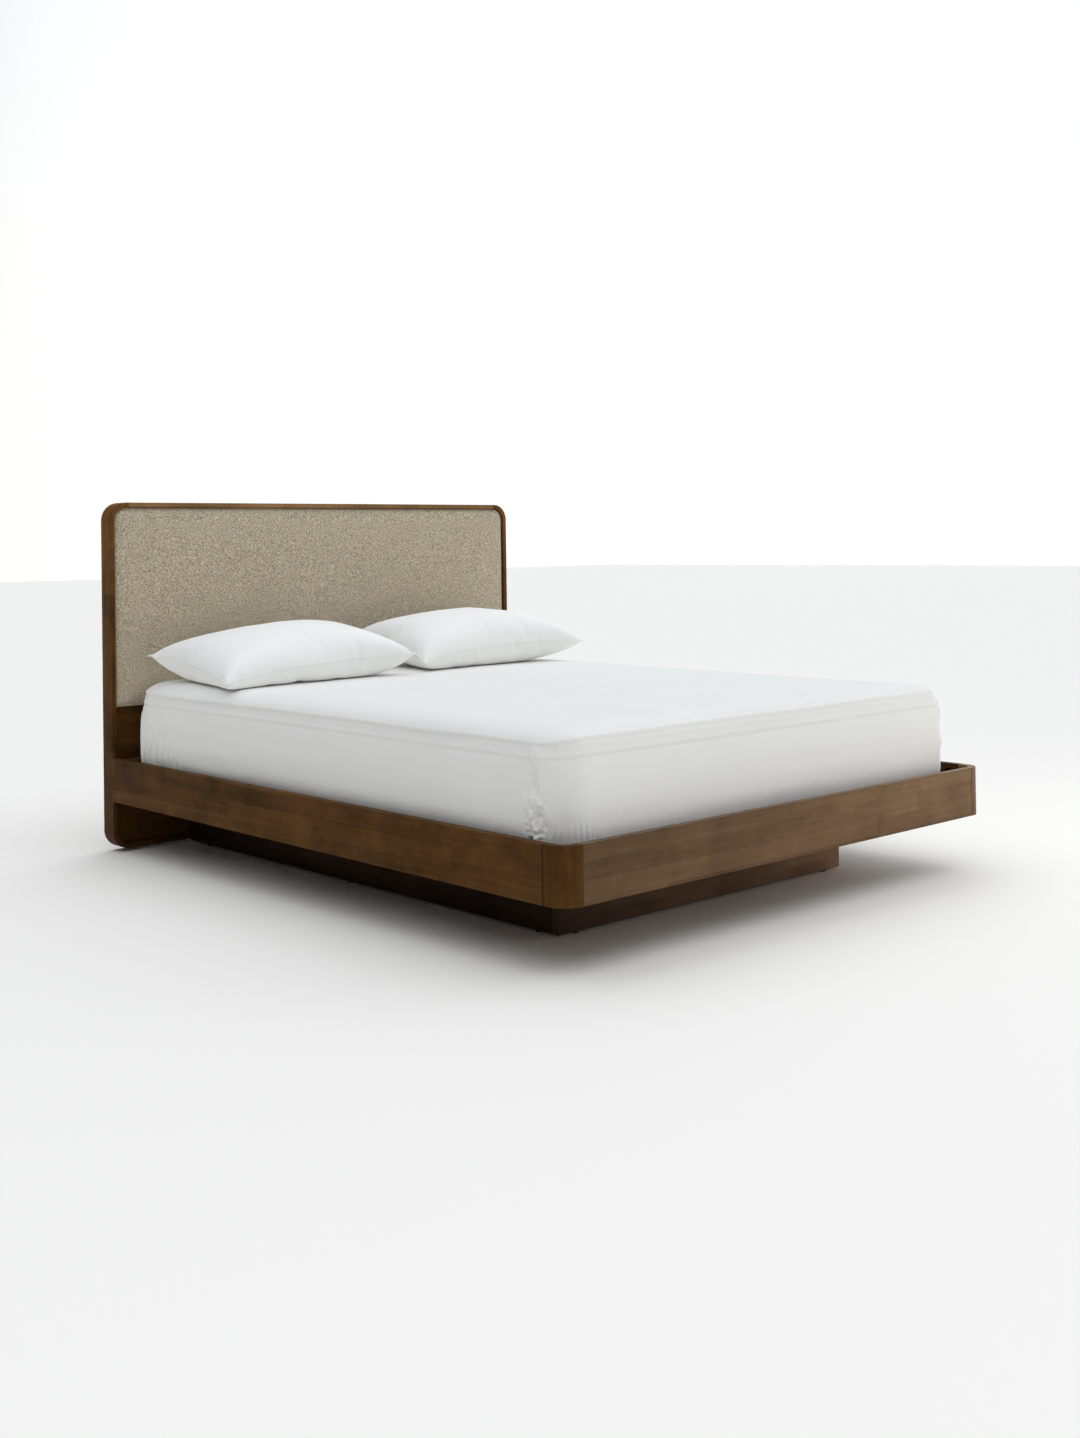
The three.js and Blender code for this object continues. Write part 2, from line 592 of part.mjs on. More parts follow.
// A pillow's upper and lower faces meet in a seam through four corners. Each side pulls in between
// its corners, and the lower face lies flat where it reaches the sheet.
function pillow(corners) {
  const corner = ([x, distance, height]) => new THREE.Vector3(x, fromHead(distance), BASE_Z + height);
  const frontLeft = corner(corners.frontLeft);
  const frontRight = corner(corners.frontRight);
  const backRight = corner(corners.backRight);
  const backLeft = corner(corners.backLeft);
  const middle = frontLeft.clone().add(frontRight).add(backRight).add(backLeft).multiplyScalar(0.25);
  const halfLong = frontLeft.distanceTo(frontRight) / 2;
  const halfShort = frontLeft.distanceTo(backLeft) / 2;

  const seamPlane = (u, v) => {
    const front = frontLeft.clone().lerp(frontRight, u);
    const point = front.lerp(backLeft.clone().lerp(backRight, u), v);
    const across = 2 * u - 1;
    const along = 2 * v - 1;
    const pullX = (PILLOW_WAIST / halfLong) * (1 - along * along) * across * across;
    const pullY = (PILLOW_WAIST / halfShort) * (1 - across * across) * along * along;
    point.x += (middle.x - point.x) * pullX;
    point.y += (middle.y - point.y) * pullY;
    return point;
  };
  const plumpness = (u, v) => {
    const across = 2 * u - 1;
    const along = 2 * v - 1;
    return ((1 - across ** 4) * (1 - along ** 4)) ** PILLOW_PLUMP_POWER;
  };
  const floor = SHEET_TOP + PILLOW_CLEARANCE;
  const point = (u, v, upper) => {
    const seam = seamPlane(u, v);
    const rise = plumpness(u, v) * (upper ? PILLOW_CROWN : -PILLOW_BELLY);
    return [seam.x, seam.y, Math.max(seam.z + rise, floor)];
  };

  const positions = [];
  for (const upper of [true, false]) {
    const order = upper ? [0, 1, 2, 0, 2, 3] : [0, 2, 1, 0, 3, 2];
    for (let i = 0; i < PILLOW_GRID.along; i++) {
      for (let j = 0; j < PILLOW_GRID.across; j++) {
        const [u, uNext] = [i / PILLOW_GRID.along, (i + 1) / PILLOW_GRID.along];
        const [v, vNext] = [j / PILLOW_GRID.across, (j + 1) / PILLOW_GRID.across];
        const square = [[u, v], [uNext, v], [uNext, vNext], [u, vNext]].map((at) => point(...at, upper));
        for (const k of order) positions.push(...square[k]);
      }
    }
  }
  const geometry = new THREE.BufferGeometry();
  geometry.setAttribute("position", new THREE.Float32BufferAttribute(positions, 3));
  const merged = mergeVertices(geometry, MERGE_DISTANCE);
  merged.computeVertexNormals();
  return merged;
}

function addBedding() {
  addPiece("mattress", mattressSlab(0), "ticking");
  addPiece("fitted_sheet", fittedSheet(), "cotton");
  for (const [name, corners] of Object.entries(PILLOWS)) addPiece(name, pillow(corners), "cotton");
}

addHeadboard();
addRails();
addBrackets();
addBase();
addPlinth();
addBedding();

export default bed;
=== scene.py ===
"""Looks for the floating platform bed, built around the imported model. Metres, in the model's frame:
+X to the right seen from the foot, +Y towards the headboard, +Z up, origin on the floor."""

import math

import bpy
import numpy as np
from mathutils import Matrix, Vector


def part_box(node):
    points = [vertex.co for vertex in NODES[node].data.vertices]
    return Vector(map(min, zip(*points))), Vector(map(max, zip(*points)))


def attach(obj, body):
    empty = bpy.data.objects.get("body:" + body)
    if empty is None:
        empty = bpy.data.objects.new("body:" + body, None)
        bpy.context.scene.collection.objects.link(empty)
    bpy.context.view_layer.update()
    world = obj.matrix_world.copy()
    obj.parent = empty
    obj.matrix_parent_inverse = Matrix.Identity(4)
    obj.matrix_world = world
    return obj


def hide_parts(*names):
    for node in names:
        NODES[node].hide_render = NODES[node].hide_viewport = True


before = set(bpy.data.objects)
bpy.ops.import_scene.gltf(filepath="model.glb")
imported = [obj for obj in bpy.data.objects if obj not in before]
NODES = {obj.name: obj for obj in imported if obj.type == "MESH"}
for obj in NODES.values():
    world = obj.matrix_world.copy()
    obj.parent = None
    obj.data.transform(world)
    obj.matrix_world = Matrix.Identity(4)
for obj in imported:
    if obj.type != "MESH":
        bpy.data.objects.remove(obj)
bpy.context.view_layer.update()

MM = 0.001
X, Y, Z = 0, 1, 2


# ---- camera, light and floor ----

CAMERA_PLACE = (-3.135, -3.542, 0.9653)
CAMERA_TURN = 42.32  # degrees from +Y towards +X
CAMERA_TILT = 0.714  # degrees above level
CAMERA_ROLL = -0.824  # degrees
LENS_MM = 38.93
SENSOR_MM = 36
SHIFT_DOWN = -0.1372

BRIGHT_WAY = 75  # degrees from +Y towards +X, where the studio is brightest
DIM_STRENGTH = 0.03
BRIGHT_STRENGTH = 1.05
CEILING_STRENGTH = 1.42
HORIZON_STRENGTH = 0.48
BRIGHT_SPAN = (0.28, 0.66)  # the cosine of the angle to the bright way, as the dim side turns bright
CEILING_SPAN = (0.4, 0.85)  # the upward share of a direction, as the ceiling sets in
HORIZON_SPAN = (0.12, 0.22)  # the same, as the horizon fades out
WARM_HORIZON = (1.0, 0.985, 0.96, 1)
COOL_CEILING = (0.935, 0.972, 1.0, 1)
WARM_LAMP = (1.0, 0.96, 0.9)
FLOOR_TONE = (0.96, 0.935, 0.905, 1)
FLOOR_HALF = 40

# Each lamp's place, the point it faces, its side in metres and its power in watts.
KEY_LAMP = ((2.6, -2.5, 0.8), (0.9, -0.9, 0.25), 1.0, 10)
FRONT_LAMP = ((-2.2, -6.4, 1.7), (-0.2, 0.0, 0.5), 2.2, 16)


def add_object(name, data):
    obj = bpy.data.objects.new(name, data)
    bpy.context.scene.collection.objects.link(obj)
    return obj


def add_camera():
    data = bpy.data.cameras.new("camera")
    data.sensor_width = SENSOR_MM
    data.lens = LENS_MM
    data.shift_y = SHIFT_DOWN
    camera = add_object("camera", data)
    turn = Matrix.Rotation(math.radians(-CAMERA_TURN), 4, "Z")
    tilt = Matrix.Rotation(math.radians(90 + CAMERA_TILT), 4, "X")
    roll = Matrix.Rotation(math.radians(CAMERA_ROLL), 4, "Z")
    camera.matrix_world = Matrix.Translation(CAMERA_PLACE) @ turn @ tilt @ roll
    bpy.context.scene.camera = camera


def add_area_light(name, place, target, size, power):
    data = bpy.data.lights.new(name, "AREA")
    data.shape = "SQUARE"
    data.size = size
    data.energy = power
    data.color = WARM_LAMP
    light = add_object(name, data)
    light.location = place
    direction = Vector(target) - Vector(place)
    light.rotation_euler = direction.to_track_quat("-Z", "Y").to_euler()


def add_world():
    """A soft studio: a pale ceiling and horizon, a bright side towards +X and a dim one towards -X."""
    world = bpy.data.worlds.new("studio")
    world.use_nodes = True
    bpy.context.scene.world = world
    tree = world.node_tree
    background = tree.nodes["Background"]
    background.inputs["Color"].default_value = (1, 1, 1, 1)

    def ramp(value, low, high, to_low, to_high):
        node = tree.nodes.new("ShaderNodeMapRange")
        node.interpolation_type = "SMOOTHSTEP"
        tree.links.new(value, node.inputs["Value"])
        limits = (low, high, to_low, to_high)
        for name, limit in zip(("From Min", "From Max", "To Min", "To Max"), limits):
            node.inputs[name].default_value = limit
        return node.outputs["Result"]

    direction = tree.nodes.new("ShaderNodeTexCoord").outputs["Generated"]
    towards = tree.nodes.new("ShaderNodeVectorMath")
    towards.operation = "DOT_PRODUCT"
    angle = math.radians(BRIGHT_WAY)
    towards.inputs[1].default_value = (math.sin(angle), math.cos(angle), 0)
    tree.links.new(direction, towards.inputs[0])
    upward = tree.nodes.new("ShaderNodeSeparateXYZ")
    tree.links.new(direction, upward.inputs[0])
    brightest = ramp(towards.outputs["Value"], *BRIGHT_SPAN, DIM_STRENGTH, BRIGHT_STRENGTH)
    ceiling = ramp(upward.outputs["Z"], *CEILING_SPAN, 0, CEILING_STRENGTH)
    horizon = ramp(upward.outputs["Z"], *HORIZON_SPAN, HORIZON_STRENGTH, 0)
    for part in (ceiling, horizon):
        greater = tree.nodes.new("ShaderNodeMath")
        greater.operation = "MAXIMUM"
        tree.links.new(brightest, greater.inputs[0])
        tree.links.new(part, greater.inputs[1])
        brightest = greater.outputs[0]
    tree.links.new(brightest, background.inputs["Strength"])
    tint = tree.nodes.new("ShaderNodeMix")
    tint.data_type = "RGBA"
    tint.inputs["A"].default_value = WARM_HORIZON
    tint.inputs["B"].default_value = COOL_CEILING
    tree.links.new(ramp(upward.outputs["Z"], 0, 0.5, 0, 1), tint.inputs["Factor"])
    tree.links.new(tint.outputs["Result"], background.inputs["Color"])


def add_floor():
    mesh = bpy.data.meshes.new("floor")
    h = FLOOR_HALF
    mesh.from_pydata([(-h, -h, 0), (h, -h, 0), (h, h, 0), (-h, h, 0)], [], [(0, 1, 2, 3)])
    material = bpy.data.materials.new("floor")
    material.use_nodes = True
    surface = material.node_tree.nodes["Principled BSDF"]
    surface.inputs["Base Color"].default_value = FLOOR_TONE
    surface.inputs["Roughness"].default_value = 0.9
    surface.inputs["Specular IOR Level"].default_value = 0.2
    mesh.materials.append(material)
    add_object("floor", mesh)


# ---- materials ----

SOCKETS = {
    "rough": "Roughness",
    "metal": "Metallic",
    "specular": "Specular IOR Level",
    "sheen": "Sheen Weight",
    "sheen_rough": "Sheen Roughness",
}
MIX_SHARE, MIX_A, MIX_B, MIX_RESULT = 0, 6, 7, 2  # a Mix node's sockets when it mixes colours


class Paint:
    """A material whose colour, roughness and bump come from nodes. Each method returns a socket."""

    def __init__(self, name, **fixed):
        self.material = bpy.data.materials.new(name)
        self.material.use_nodes = True
        self.tree = self.material.node_tree
        self.surface = self.tree.nodes["Principled BSDF"]
        for key, value in fixed.items():
            self.surface.inputs[SOCKETS[key]].default_value = value
        self.object_place = self.node("ShaderNodeTexCoord", {}, "Object")

    def node(self, kind, inputs, output, **settings):
        made = self.tree.nodes.new(kind)
        for key, value in settings.items():
            setattr(made, key, value)
        for key, value in inputs.items():
            if isinstance(value, bpy.types.NodeSocket):
                self.tree.links.new(value, made.inputs[key])
            else:
                made.inputs[key].default_value = value
        return made.outputs[output]

    def place(self, scale=(1, 1, 1)):
        """The object's own coordinates in metres, scaled."""
        inputs = {"Vector": self.object_place, "Scale": scale}
        return self.node("ShaderNodeMapping", inputs, "Vector", vector_type="POINT")

    def axes(self, where):
        split = self.tree.nodes.new("ShaderNodeSeparateXYZ")
        self.tree.links.new(where, split.inputs[0])
        return [split.outputs[axis] for axis in "XYZ"]

    def point(self, x, y, z=0.0):
        return self.node("ShaderNodeCombineXYZ", {"X": x, "Y": y, "Z": z}, "Vector")

    def noise(self, where, scale, detail=2.0, roughness=0.5, distortion=0.0):
        inputs = {
            "Vector": where,
            "Scale": scale,
            "Detail": detail,
            "Roughness": roughness,
            "Distortion": distortion,
        }
        return self.node("ShaderNodeTexNoise", inputs, "Fac")

    def maths(self, operation, a, b=0.0):
        return self.node("ShaderNodeMath", {0: a, 1: b}, 0, operation=operation)

    def remap(self, value, low, high, to_low=0.0, to_high=1.0):
        inputs = {
            "Value": value,
            "From Min": low,
            "From Max": high,
            "To Min": to_low,
            "To Max": to_high,
        }
        return self.node("ShaderNodeMapRange", inputs, "Result")

    def mix(self, share, a, b, blend="MIX"):
        made = self.tree.nodes.new("ShaderNodeMix")
        made.data_type = "RGBA"
        made.blend_type = blend
        for number, value in ((MIX_SHARE, share), (MIX_A, a), (MIX_B, b)):
            if isinstance(value, bpy.types.NodeSocket):
                self.tree.links.new(value, made.inputs[number])
            else:
                made.inputs[number].default_value = value
        return made.outputs[MIX_RESULT]

    def bump(self, height, distance, strength=1.0, over=None):
        inputs = {"Height": height, "Distance": distance, "Strength": strength}
        if over is not None:
            inputs["Normal"] = over
        return self.node("ShaderNodeBump", inputs, "Normal")

    def finish(self, colour=None, roughness=None, normal=None):
        for key, value in (("Base Color", colour), ("Roughness", roughness), ("Normal", normal)):
            if value is not None:
                self.tree.links.new(value, self.surface.inputs[key])
        return self.material


def rgba(red, green, blue):
    """A colour from sRGB values of 0 to 255."""
    values = [v / 255 for v in (red, green, blue)]
    return (*[v / 12.92 if v <= 0.04045 else ((v + 0.055) / 1.055) ** 2.4 for v in values], 1)


def scaled(colour, factor):
    return (*[min(c * factor, 1) for c in colour[:3]], 1)


# The width of the painted shadow along an open joint.
JOINT_SHADOW_WIDTH = 1.8 * MM
PLAIN_FINISH = (0.02, 0.42)
NARROW_STAVES = (0.5, 0.045)
WIDE_STAVES = (2.5, 0.3)
BROAD_STAVES = (2.0, 2.0)
STAVE_SHIFT = 0.37  # of a stave's length, from one row to the next


def wood(
    name,
    grain,
    tones,
    finish=PLAIN_FINISH,
    staves=NARROW_STAVES,
    stave_share=0.3,
    fade=None,
    joint=None,
):
    """Stained wood with its grain along one axis: glued staves, slow figure, streaks and open pores.

    tones are the dark and the light one, finish is the specular level and the roughness, staves are their
    length and width, and stave_share is how much they differ.
    fade is painted light: an axis, its colour's strength at that axis's zero, and how much it grows per
    metre.
    joint is an axis and the place on it of an open joint, along whose edge a painted shadow darkens the
    wood."""
    dark, light = tones
    specular, rough = finish
    paint = Paint(name, specular=specular)
    across = [axis for axis in (X, Y, Z) if axis != grain]
    xyz = paint.axes(paint.place())
    side = paint.maths("ADD", xyz[across[0]], xyz[across[1]])

    def drawn_out(share):
        """Coordinates in which a texture is stretched along the grain."""
        scale = [1.0, 1.0, 1.0]
        scale[grain] = share
        return paint.place(scale)

    figure = paint.noise(drawn_out(0.12), 9, detail=4, roughness=0.55, distortion=0.6)
    streaks = paint.noise(drawn_out(0.05), 90, detail=5, roughness=0.6)
    pores = paint.noise(drawn_out(0.03), 700, detail=2, roughness=0.6)
    cloud = paint.noise(paint.place(), 7, detail=4, roughness=0.6)
    bricks = {
        "Vector": paint.point(xyz[grain], side),
        "Color1": (0, 0, 0, 1),
        "Color2": (1, 1, 1, 1),
        "Mortar Size": 0,
        "Scale": 1,
        "Brick Width": staves[0],
        "Row Height": staves[1],
    }
    stave = paint.node("ShaderNodeTexBrick", bricks, "Color", offset=STAVE_SHIFT)

    tone = 0.0
    layers = (
        (paint.remap(figure, 0.3, 0.7), 0.3),
        (paint.remap(streaks, 0.35, 0.68), 0.22),
        (paint.remap(cloud, 0.3, 0.7), 0.45),
        (stave, stave_share),
    )
    for layer, share in layers:
        tone = paint.maths("ADD", tone, paint.maths("MULTIPLY", layer, share))
    colour = paint.mix(paint.remap(tone, 0.2, 1.1), dark, light)
    open_pores = paint.remap(pores, 0.34, 0.43)
    colour = paint.mix(open_pores, paint.mix(0.5, dark, colour), colour)
    # Painted light: the colour is multiplied by a fade that grows along one axis.
    if fade:
        axis, strength, growth = fade
        shade = paint.maths("ADD", paint.maths("MULTIPLY", xyz[axis], growth), strength)
        colour = paint.mix(1.0, colour, paint.point(shade, shade, shade), blend="MULTIPLY")
    # Painted shadow: the wood turns dark along an open joint, where the gap would be in shade.
    if joint:
        axis, place = joint
        away = paint.maths("ABSOLUTE", paint.maths("SUBTRACT", xyz[axis], place))
        colour = paint.mix(paint.remap(away, JOINT_SHADOW_WIDTH, 1.3 * JOINT_SHADOW_WIDTH), scaled(dark, 0.15), colour)

    roughness = paint.remap(streaks, 0.3, 0.7, rough + 0.08, rough - 0.04)
    grain_bump = paint.bump(streaks, 0.12 * MM, 0.3)
    pore_bump = paint.bump(open_pores, 0.1 * MM, 0.3, over=grain_bump)
    return paint.finish(colour, roughness, pore_bump)


def tweed(name):
    """A barleycorn weave: light yarn diamonds over dark gaps, in mixed tan, grey and cream."""
    pitch_x = 9.5 * MM
    pitch_z = 7.0 * MM
    wobble = 3 * MM
    paint = Paint(name, rough=0.9, specular=0.12, sheen=0.2, sheen_rough=0.5)
    wander = paint.noise(paint.place(), 75, detail=2)
    x, _, z = paint.axes(paint.place())
    shift = paint.remap(wander, 0, 1, -wobble, wobble)
    across = paint.maths("MULTIPLY", paint.maths("ADD", x, shift), math.tau / pitch_x)
    upward = paint.maths("MULTIPLY", paint.maths("SUBTRACT", z, shift), math.tau / pitch_z)
    weave = paint.maths("MULTIPLY", paint.maths("COSINE", across), paint.maths("COSINE", upward))
    yarn = paint.remap(weave, -0.85, 0.3)

    melange = paint.noise(paint.place(), 330, detail=3, roughness=0.7)
    mottle = paint.noise(paint.place(), 188, detail=2, roughness=0.6)
    slub = paint.noise(paint.place((1, 1, 2.5)), 60, detail=3, roughness=0.6)
    light = paint.mix(paint.remap(melange, 0.38, 0.62), rgba(186, 166, 130), rgba(255, 246, 226))
    light = paint.mix(paint.remap(slub, 0.45, 0.65), light, rgba(216, 204, 180))
    dark = paint.mix(paint.remap(slub, 0.4, 0.6), rgba(90, 74, 54), rgba(130, 118, 98))
    colour = paint.mix(yarn, dark, light)
    shade = paint.remap(mottle, 0.34, 0.66, 0.6, 1.34)
    colour = paint.mix(1.0, colour, paint.point(shade, shade, shade), blend="MULTIPLY")
    flecks = paint.noise(paint.place(), 190, detail=1)
    colour = paint.mix(paint.remap(flecks, 0.7, 0.75), colour, rgba(70, 54, 40))

    fibre = paint.bump(melange, 0.4 * MM, 0.5)
    relief = paint.bump(weave, 0.9 * MM, 0.6, over=fibre)
    return paint.finish(colour, None, relief)


def cotton(name, tone):
    """Plain woven cotton, with faint slubs and small soft creases."""
    thread = 0.45 * MM
    paint = Paint(name, rough=0.85, specular=0.2, sheen=0.12, sheen_rough=0.4)
    x, y, z = paint.axes(paint.place())
    warp = paint.maths("SINE", paint.maths("MULTIPLY", paint.maths("ADD", x, y), math.tau / thread))
    weft = paint.maths("SINE", paint.maths("MULTIPLY", paint.maths("ADD", z, y), math.tau / thread))
    slubs = paint.noise(paint.place((1, 1, 6)), 120, detail=3)
    cloud = paint.noise(paint.place(), 6, detail=3)
    colour = paint.mix(paint.remap(slubs, 0.3, 0.7), scaled(tone, 0.965), tone)
    colour = paint.mix(paint.remap(cloud, 0.35, 0.65), scaled(tone, 0.97), colour)
    folds = paint.noise(paint.place((1, 1, 0.45)), 26, detail=4, roughness=0.55, distortion=0.4)
    relief = paint.bump(folds, 1.6 * MM, 0.35)
    cloth = paint.bump(paint.maths("MULTIPLY", warp, weft), 0.05 * MM, 0.25, over=relief)
    return paint.finish(colour, None, cloth)


def ticking(name):
    """A knitted mattress cover, quilted in a small diamond pattern."""
    paint = Paint(name, rough=0.9, specular=0.15, sheen=0.1)
    x, y, z = paint.axes(paint.place())
    diamond = 55 * MM
    one = paint.maths("ADD", paint.maths("ADD", x, y), z)
    two = paint.maths("ADD", paint.maths("SUBTRACT", x, y), z)
    waves = [paint.maths("COSINE", paint.maths("MULTIPLY", v, math.pi / diamond)) for v in (one, two)]
    quilt = paint.maths("MULTIPLY", *[paint.maths("ABSOLUTE", w) for w in waves])
    knit = paint.noise(paint.place(), 500, detail=2)
    colour = paint.mix(paint.remap(quilt, 0, 0.12), rgba(196, 194, 188), rgba(232, 230, 224))
    relief = paint.bump(paint.remap(quilt, 0, 0.5), 4 * MM, 0.6)
    return paint.finish(colour, None, paint.bump(knit, 0.3 * MM, 0.3, over=relief))


def zinc(name):
    """Brushed zinc plate, with fine scratches and a faint cloudiness."""
    paint = Paint(name, metal=1.0)
    brushed = paint.noise(paint.place((1, 1, 0.04)), 2400, detail=2)
    cloud = paint.noise(paint.place(), 60, detail=3)
    colour = paint.mix(paint.remap(cloud, 0.35, 0.65), rgba(150, 152, 156), rgba(186, 188, 190))
    roughness = paint.remap(brushed, 0.3, 0.7, 0.28, 0.44)
    return paint.finish(colour, roughness, paint.bump(brushed, 0.05 * MM, 0.3))


def moulded(name, tone):
    """Moulded plastic, with a fine spark-eroded texture and scuffs."""
    paint = Paint(name, specular=0.4)
    spark = paint.noise(paint.place(), 1600, detail=2)
    scuff = paint.noise(paint.place((1, 1, 4)), 110, detail=4)
    colour = paint.mix(paint.remap(scuff, 0.55, 0.75), tone, scaled(tone, 1.9))
    roughness = paint.remap(scuff, 0.3, 0.7, 0.5, 0.68)
    return paint.finish(colour, roughness, paint.bump(spark, 0.06 * MM, 0.4))


# ---- the frame's own nodes ----

EDGE_ROUND = 1.6 * MM
JOINT_ROUND = 0.7 * MM  # of parts that meet their neighbours flush
WELD = 0.01 * MM
EDGE_SEGMENTS = 3
SHADE_ANGLE = math.radians(32)

STEEL_ROUND = 0.8 * MM
SMALL_ROUND = 0.4 * MM  # of bolts and glides

# Each wood's dark and light tone.
WALNUT = (rgba(54, 35, 16), rgba(106, 73, 38))
# A lighter walnut for the eased edges: a painted highlight.
EDGE_HIGHLIGHT_WALNUT = (WALNUT[0], scaled(WALNUT[1], 1.5))
# A lighter copy of the walnut for the foot's boards and the headboard's top rail: painted light and
# sheen.
LIT_WALNUT = (rgba(82, 58, 34), rgba(128, 98, 66))
ESPRESSO = (rgba(26, 16, 8), rgba(60, 40, 24))
# A lighter copy of the espresso for the plinth's foot: painted light.
LIT_ESPRESSO = (rgba(76, 55, 38), rgba(118, 92, 70))
# The pine is darkened as painted shade, so the gap between the mattress and the headboard reads dark.
SHADE_DARKENED_PINE = (rgba(84, 58, 36), rgba(128, 94, 60))

# Their specular levels and roughness.
FOOT_FINISH = (0.12, 0.38)
ESPRESSO_FINISH = (0.05, 0.5)
PLINTH_FOOT_FINISH = (0.1, 0.45)
PINE_FINISH = (0.2, 0.6)

# Painted light: the fades that make the foot's wood lighter to the right and the headboard's lighter
# upwards.
FOOT_PAINTED_LIGHT = (X, 1.0, 0.42)
FOOT_END_PAINTED_LIGHT = (X, 1.0, 0.6)
PLINTH_FOOT_PAINTED_LIGHT = (X, 1.15, 1.4)
HEADBOARD_PAINTED_LIGHT = (Z, 0.6, 1.1)


def dress(names, material, edge_highlight=None, edge=EDGE_ROUND):
    """Gives CAD nodes a material and eased edges, which may have a lighter material of their own, a
    painted highlight.
    """
    for name in names:
        node = NODES[name]
        mesh = node.data
        mesh.materials.clear()
        mesh.materials.append(material)
        weld = node.modifiers.new("weld", "WELD")
        weld.merge_threshold = WELD
        bevel = node.modifiers.new("eased_edges", "BEVEL")
        bevel.width = edge
        bevel.segments = EDGE_SEGMENTS
        bevel.limit_method = "ANGLE"
        bevel.angle_limit = SHADE_ANGLE
        if edge_highlight is not None:
            mesh.materials.append(edge_highlight)
            bevel.material = 1
        smooth = node.modifiers.new("weighted_normals", "WEIGHTED_NORMAL")
        smooth.keep_sharp = True
        smooth_shading(mesh)


def pair(pattern):
    return [pattern.format(side) for side in ("left", "right")]


def numbered(prefix):
    return sorted(name for name in NODES if name.startswith(prefix) and name[len(prefix):].isdigit())


def dress_headboard(edge_highlight):
    upright = wood("walnut_upright", Z, WALNUT, fade=HEADBOARD_PAINTED_LIGHT)
    # The top rail takes the lighter copy of the walnut, painted light, as well as the upward fade.
    crown = wood("walnut_crown", X, LIT_WALNUT, fade=HEADBOARD_PAINTED_LIGHT)
    plain = wood("walnut_x", X, WALNUT)
    corners = pair("headboard_corner_bottom_{}") + pair("headboard_corner_top_{}")
    dress(pair("headboard_stile_{}") + corners, upright, edge_highlight, JOINT_ROUND)
    dress(["headboard_top_rail"], crown, edge_highlight, JOINT_ROUND)
    dress(["headboard_bottom_rail"], plain, edge_highlight, JOINT_ROUND)
    dress(["headboard_panel"], plain)


def dress_rails(edge_highlight):
    # The side rails and the foot rail carry a painted shadow along their open joints with the foot
    # corners.
    side_joint_shadow = (Y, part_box("side_rail_left")[0].y)
    rail = wood("walnut_rail", Y, WALNUT, joint=side_joint_shadow)
    # The side rails' eased edges get their own lighter walnut, a painted highlight.
    rail_edge_highlight = wood("rail_edge_highlight", Y, EDGE_HIGHLIGHT_WALNUT, joint=side_joint_shadow)
    dress(pair("side_rail_{}"), rail, rail_edge_highlight, JOINT_ROUND)
    foot_joint_shadow = (X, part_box("foot_rail")[1].x)
    foot = wood("walnut_foot", X, LIT_WALNUT, FOOT_FINISH, fade=FOOT_PAINTED_LIGHT, joint=foot_joint_shadow)
    dress(["foot_rail"], foot, edge_highlight, JOINT_ROUND)
    dress(["foot_corner_left"], wood("walnut_z", Z, WALNUT))
    dress(["foot_corner_right"], wood("walnut_foot_end", Z, LIT_WALNUT, FOOT_FINISH, fade=FOOT_END_PAINTED_LIGHT))


def dress_plinth():
    dress(pair("plinth_side_{}"), wood("espresso_y", Y, ESPRESSO, ESPRESSO_FINISH))
    dress(["plinth_head", "plinth_divider"], wood("espresso_x", X, ESPRESSO, ESPRESSO_FINISH))
    foot = wood("espresso_foot", X, LIT_ESPRESSO, PLINTH_FOOT_FINISH, fade=PLINTH_FOOT_PAINTED_LIGHT)
    dress(["plinth_foot"], foot)


def dress_slat_deck():
    crosswise = wood("pine_x", X, SHADE_DARKENED_PINE, PINE_FINISH, WIDE_STAVES, 0.1)
    lengthwise = wood("pine_y", Y, SHADE_DARKENED_PINE, PINE_FINISH, WIDE_STAVES, 0.1)
    plywood = wood("plywood", X, SHADE_DARKENED_PINE, PINE_FINISH, WIDE_STAVES, 0.05)
    dress(numbered("slat_") + numbered("cross_bearer_") + ["headboard_mounting_batten"], crosswise)
    dress(pair("slat_ledger_{}") + ["centre_beam"], lengthwise)
    dress(["pad_backing_board"], plywood)


def dress_fittings():
    steel = zinc("zinc_steel")
    dress(pair("rail_bracket_{}"), steel, edge=STEEL_ROUND)
    bolts = pair("side_corner_bolt_{}") + pair("foot_corner_bolt_{}") + pair("bracket_bolt_{}")
    dress(bolts, steel, edge=SMALL_ROUND)
    glides = sorted(name for name in NODES if name.startswith("glide_"))
    dress(glides, moulded("glide_plastic", rgba(30, 26, 23)), edge=SMALL_ROUND)


# ---- slabs with rounded plans: the mattress, its sheet and the headboard's pad ----


def graded(length, fine, coarse, zone):
    """Fractions of a length, finely spaced within a zone of each end and coarsely between."""
    zone = min(zone, length / 2)
    ends = np.linspace(0, zone, max(2, round(zone / fine) + 1))
    middle = np.linspace(zone, length - zone, max(2, round((length - 2 * zone) / coarse) + 1))
    places = np.concatenate([ends, middle[1:-1], length - ends[::-1]])
    return np.unique(np.round(places, 6)) / length


